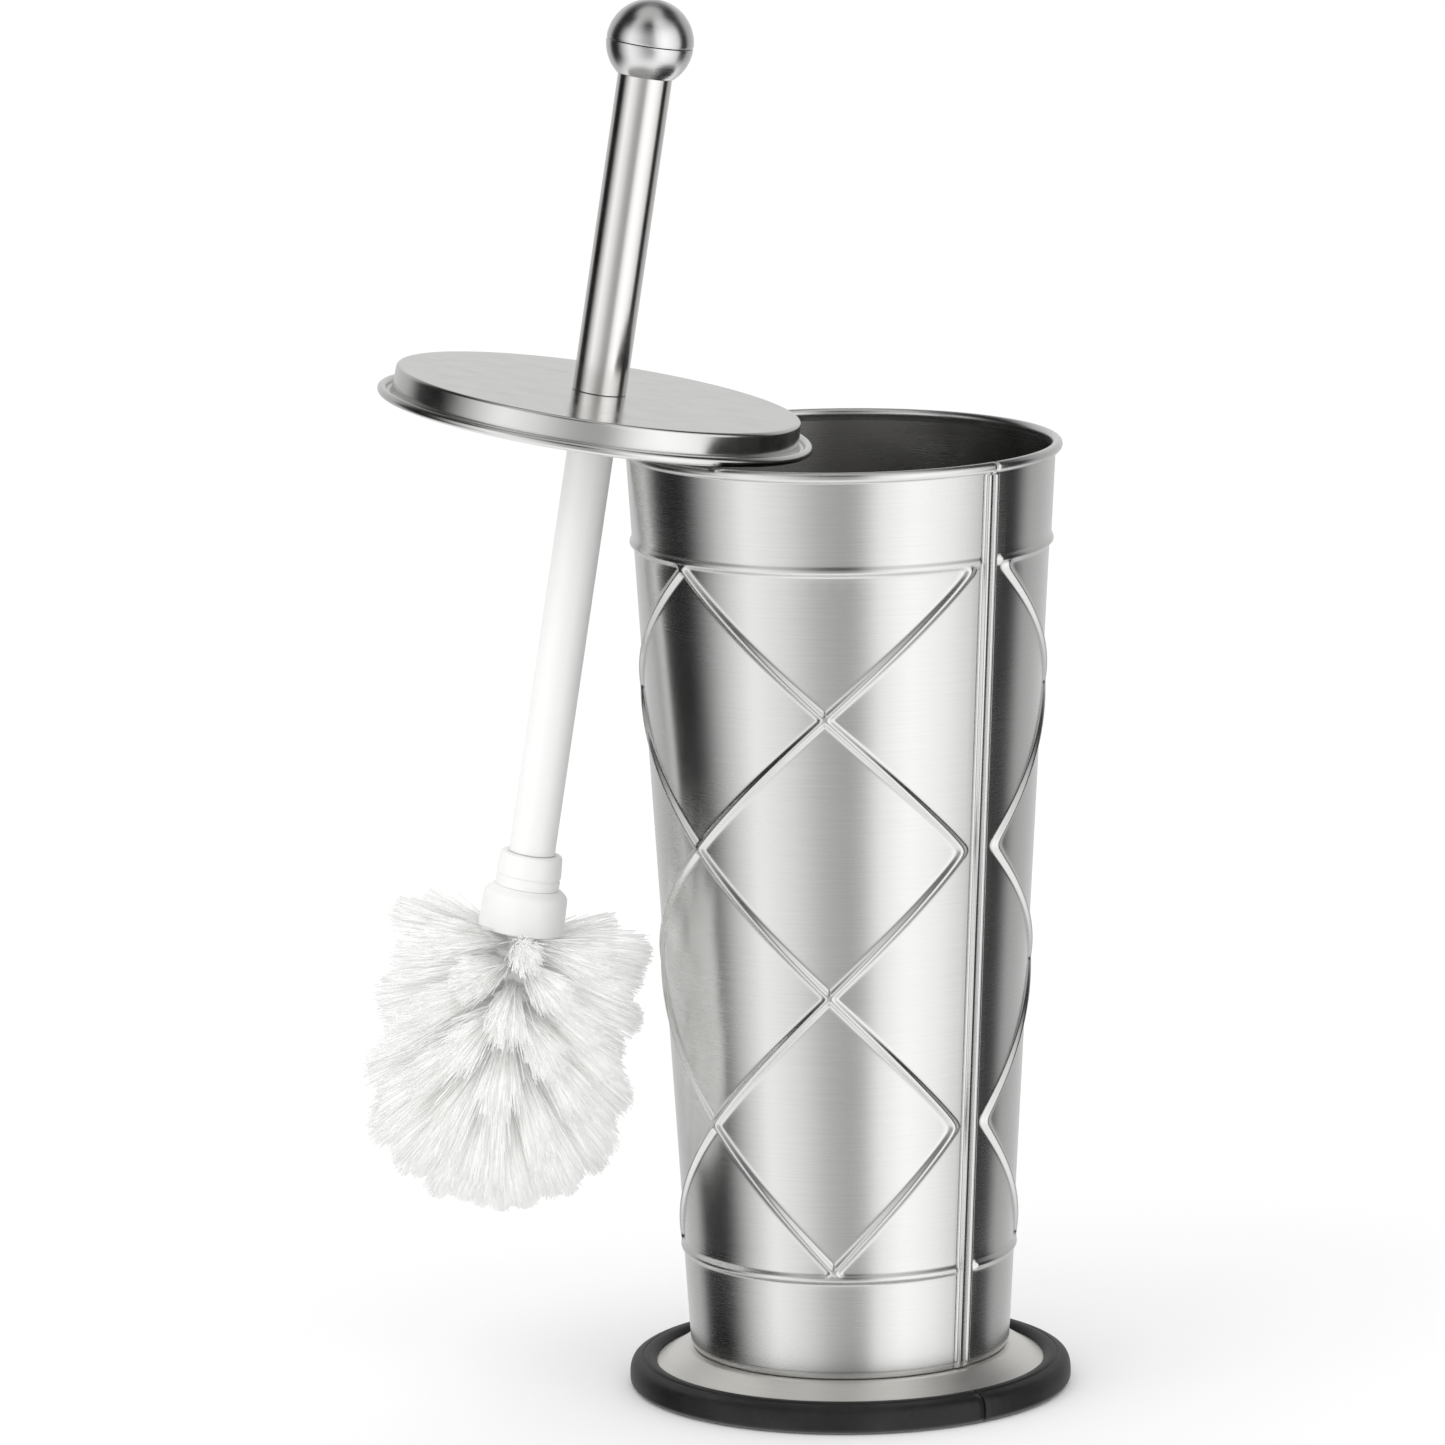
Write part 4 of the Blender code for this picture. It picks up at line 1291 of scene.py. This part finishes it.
# ---------------------------------------------------------------- studio
@dataclass(kw_only=True)
class Studio:
    """Pale floor, soft light all round with two dark flags, and a long lens."""

    target: tuple[float, float, float] = (-34.7 * MM, 0.0, 194.5 * MM)
    distance: float = 2.6
    pitch: float = math.radians(10.34)
    roll: float = math.radians(0.757)
    lens: float = 225.9
    sensor: float = 36.0
    floor_half: float = 12.0
    matt_light: float = 1.08            # even light that every matt surface gets
    zenith_light: tuple[float, float, float, float] = (0.62, 0.62, 0.60, 1.0)
    table_light: float = 1.25
    overhead_loss: float = 0.55         # what is taken off each light round the horizon, higher up
    key_place: tuple[float, float, float] = (-1.1, -1.0, 1.7)
    key_size: float = 1.2
    key_watts: float = 5.0

    def floor(self) -> None:
        """A wide pale floor, kept out of the steel's reflections."""
        half = self.floor_half
        side = np.linspace(-half, half, 9)
        x, y = np.meshgrid(side, side)
        points = np.stack([x, y, np.full_like(x, -0.05 * MM)], axis=2)
        mesh = mesh_from("studio_floor", grid(points, points[..., :2]), False)
        obj = bpy.data.objects.new("studio_floor", mesh)
        bpy.context.scene.collection.objects.link(obj)
        obj.data.materials.append(Finish("pale_floor", "#fafafa", 0.9).material())
        obj.visible_glossy = False

    def surroundings(self) -> None:
        """The light all round: even for matt surfaces, and a lit studio in what shines.

        Round the horizon, from the back by the left, the front and the right to the back again, the
        studio is a pale paper, a dark flag, a soft box, the dim camera side, a brighter soft box, a
        second flag and the paper. Overhead only the tall soft boxes are left, and below is the white
        table.
        """
        world = bpy.data.worlds.new("studio")
        bpy.context.scene.world = world
        world.use_nodes = True
        tree = world.node_tree
        tree.nodes.clear()
        place = add_node(tree, "ShaderNodeTexCoord")
        way = add_node(tree, "ShaderNodeSeparateXYZ", {"Vector": place.outputs["Generated"]})
        front = add_node(tree, "ShaderNodeMath", {0: way.outputs["Y"]}, {1: -1.0}, operation="MULTIPLY")
        azimuth = add_node(tree, "ShaderNodeMath", {0: way.outputs["X"], 1: front.outputs[0]},
                           operation="ARCTAN2")
        share = add_node(tree, "ShaderNodeMapRange", {"Value": azimuth.outputs[0]},
                         {"From Min": -math.pi, "From Max": math.pi})
        round_ramp = add_node(tree, "ShaderNodeValToRGB", {"Fac": share.outputs["Result"]})
        degrees_and_light = [
            (-180, 0.76), (-150, 0.64), (-132, 0.55), (-120, 0.02), (-97, 0.0), (-90, 0.10), (-74, 0.72),
            (-55, 1.30), (-33, 1.02), (-14, 0.60), (1, 0.46), (9, 0.58), (20, 1.22), (38, 1.52), (62, 1.30),
            (84, 0.85), (92, 0.02), (110, 0.02), (122, 0.48), (150, 0.64), (180, 0.76),
        ]
        set_ramp(round_ramp, [((angle + 180) / 360, float(light)) for angle, light in degrees_and_light])
        tall = add_node(tree, "ShaderNodeMix", {6: round_ramp.outputs["Color"]},
                        {"Factor": 1.0, 7: self.grey(self.overhead_loss)},
                        data_type="RGBA", blend_type="SUBTRACT", clamp_result=True)
        overhead = add_node(tree, "ShaderNodeMapRange", {"Value": way.outputs["Z"]},
                            {"From Min": 0.36, "From Max": 0.75}, interpolation_type="SMOOTHSTEP")
        upper = add_node(tree, "ShaderNodeMix", {"Factor": overhead.outputs["Result"],
                                                 6: round_ramp.outputs["Color"], 7: tall.outputs[2]},
                         data_type="RGBA")
        zenith = add_node(tree, "ShaderNodeMapRange", {"Value": way.outputs["Z"]},
                          {"From Min": 0.84, "From Max": 0.97}, interpolation_type="SMOOTHSTEP")
        topped = add_node(tree, "ShaderNodeMix", {"Factor": zenith.outputs["Result"], 6: upper.outputs[2]},
                          {7: self.zenith_light}, data_type="RGBA")
        below = add_node(tree, "ShaderNodeMapRange", {"Value": way.outputs["Z"]},
                         {"From Min": -0.42, "From Max": -0.80}, interpolation_type="SMOOTHSTEP")
        shining = add_node(tree, "ShaderNodeMix", {"Factor": below.outputs["Result"], 6: topped.outputs[2]},
                           {7: self.grey(self.table_light)}, data_type="RGBA")
        path = add_node(tree, "ShaderNodeLightPath")
        look = add_node(tree, "ShaderNodeMix", {"Factor": path.outputs["Is Glossy Ray"],
                                                7: shining.outputs[2]},
                        {6: self.grey(self.matt_light)}, data_type="RGBA")
        light = add_node(tree, "ShaderNodeBackground", {"Color": look.outputs[2]}, {"Strength": 1.0})
        add_node(tree, "ShaderNodeOutputWorld", {"Surface": light.outputs["Background"]})

    @staticmethod
    def grey(level: float) -> tuple[float, float, float, float]:
        """A grey light of some level, as a node's colour."""
        return level, level, level, 1.0

    def key_light(self) -> None:
        """A large soft light high on the left that models the matt pieces."""
        data = bpy.data.lights.new("soft_key", "AREA")
        data.shape = "RECTANGLE"
        data.size = data.size_y = self.key_size
        data.energy = self.key_watts
        lamp = bpy.data.objects.new("soft_key", data)
        bpy.context.scene.collection.objects.link(lamp)
        place = Vector(self.key_place)
        lamp.location = place
        lamp.rotation_euler = (Vector(self.target) - place).to_track_quat("-Z", "Y").to_euler()
        lamp.visible_glossy = False

    def camera(self) -> None:
        """The camera: in front and a little above, turned slightly about its own view."""
        data = bpy.data.cameras.new("camera")
        data.lens, data.sensor_width = self.lens, self.sensor
        data.clip_start, data.clip_end = 0.05, 60.0
        obj = bpy.data.objects.new("camera", data)
        bpy.context.scene.collection.objects.link(obj)
        back = Vector((0.0, -math.cos(self.pitch), math.sin(self.pitch)))
        right = Vector((1.0, 0.0, 0.0))
        up = back.cross(right)
        leaned_right = right * math.cos(self.roll) - up * math.sin(self.roll)
        leaned_up = right * math.sin(self.roll) + up * math.cos(self.roll)
        turn = Matrix((leaned_right, leaned_up, back)).transposed()
        obj.matrix_world = Matrix.Translation(Vector(self.target) + back * self.distance) @ turn.to_4x4()
        bpy.context.scene.camera = obj

    def build(self) -> None:
        """Sets the whole studio up."""
        self.floor()
        self.surroundings()
        self.key_light()
        self.camera()
        bpy.context.scene.view_settings.view_transform = "Standard"


def main() -> None:
    """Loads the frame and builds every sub-assembly in order."""
    logging.basicConfig(level=logging.INFO, format="%(message)s")
    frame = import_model()
    axis = BrushAxis.from_record(frame["record"])
    Studio().build()
    Canister().build()
    Base().build()
    for part in (Lid(axis=axis), Handle(axis=axis), Stem(axis=axis), BrushHead(axis=axis)):
        part.build()


if __name__ == "__main__":
    main()
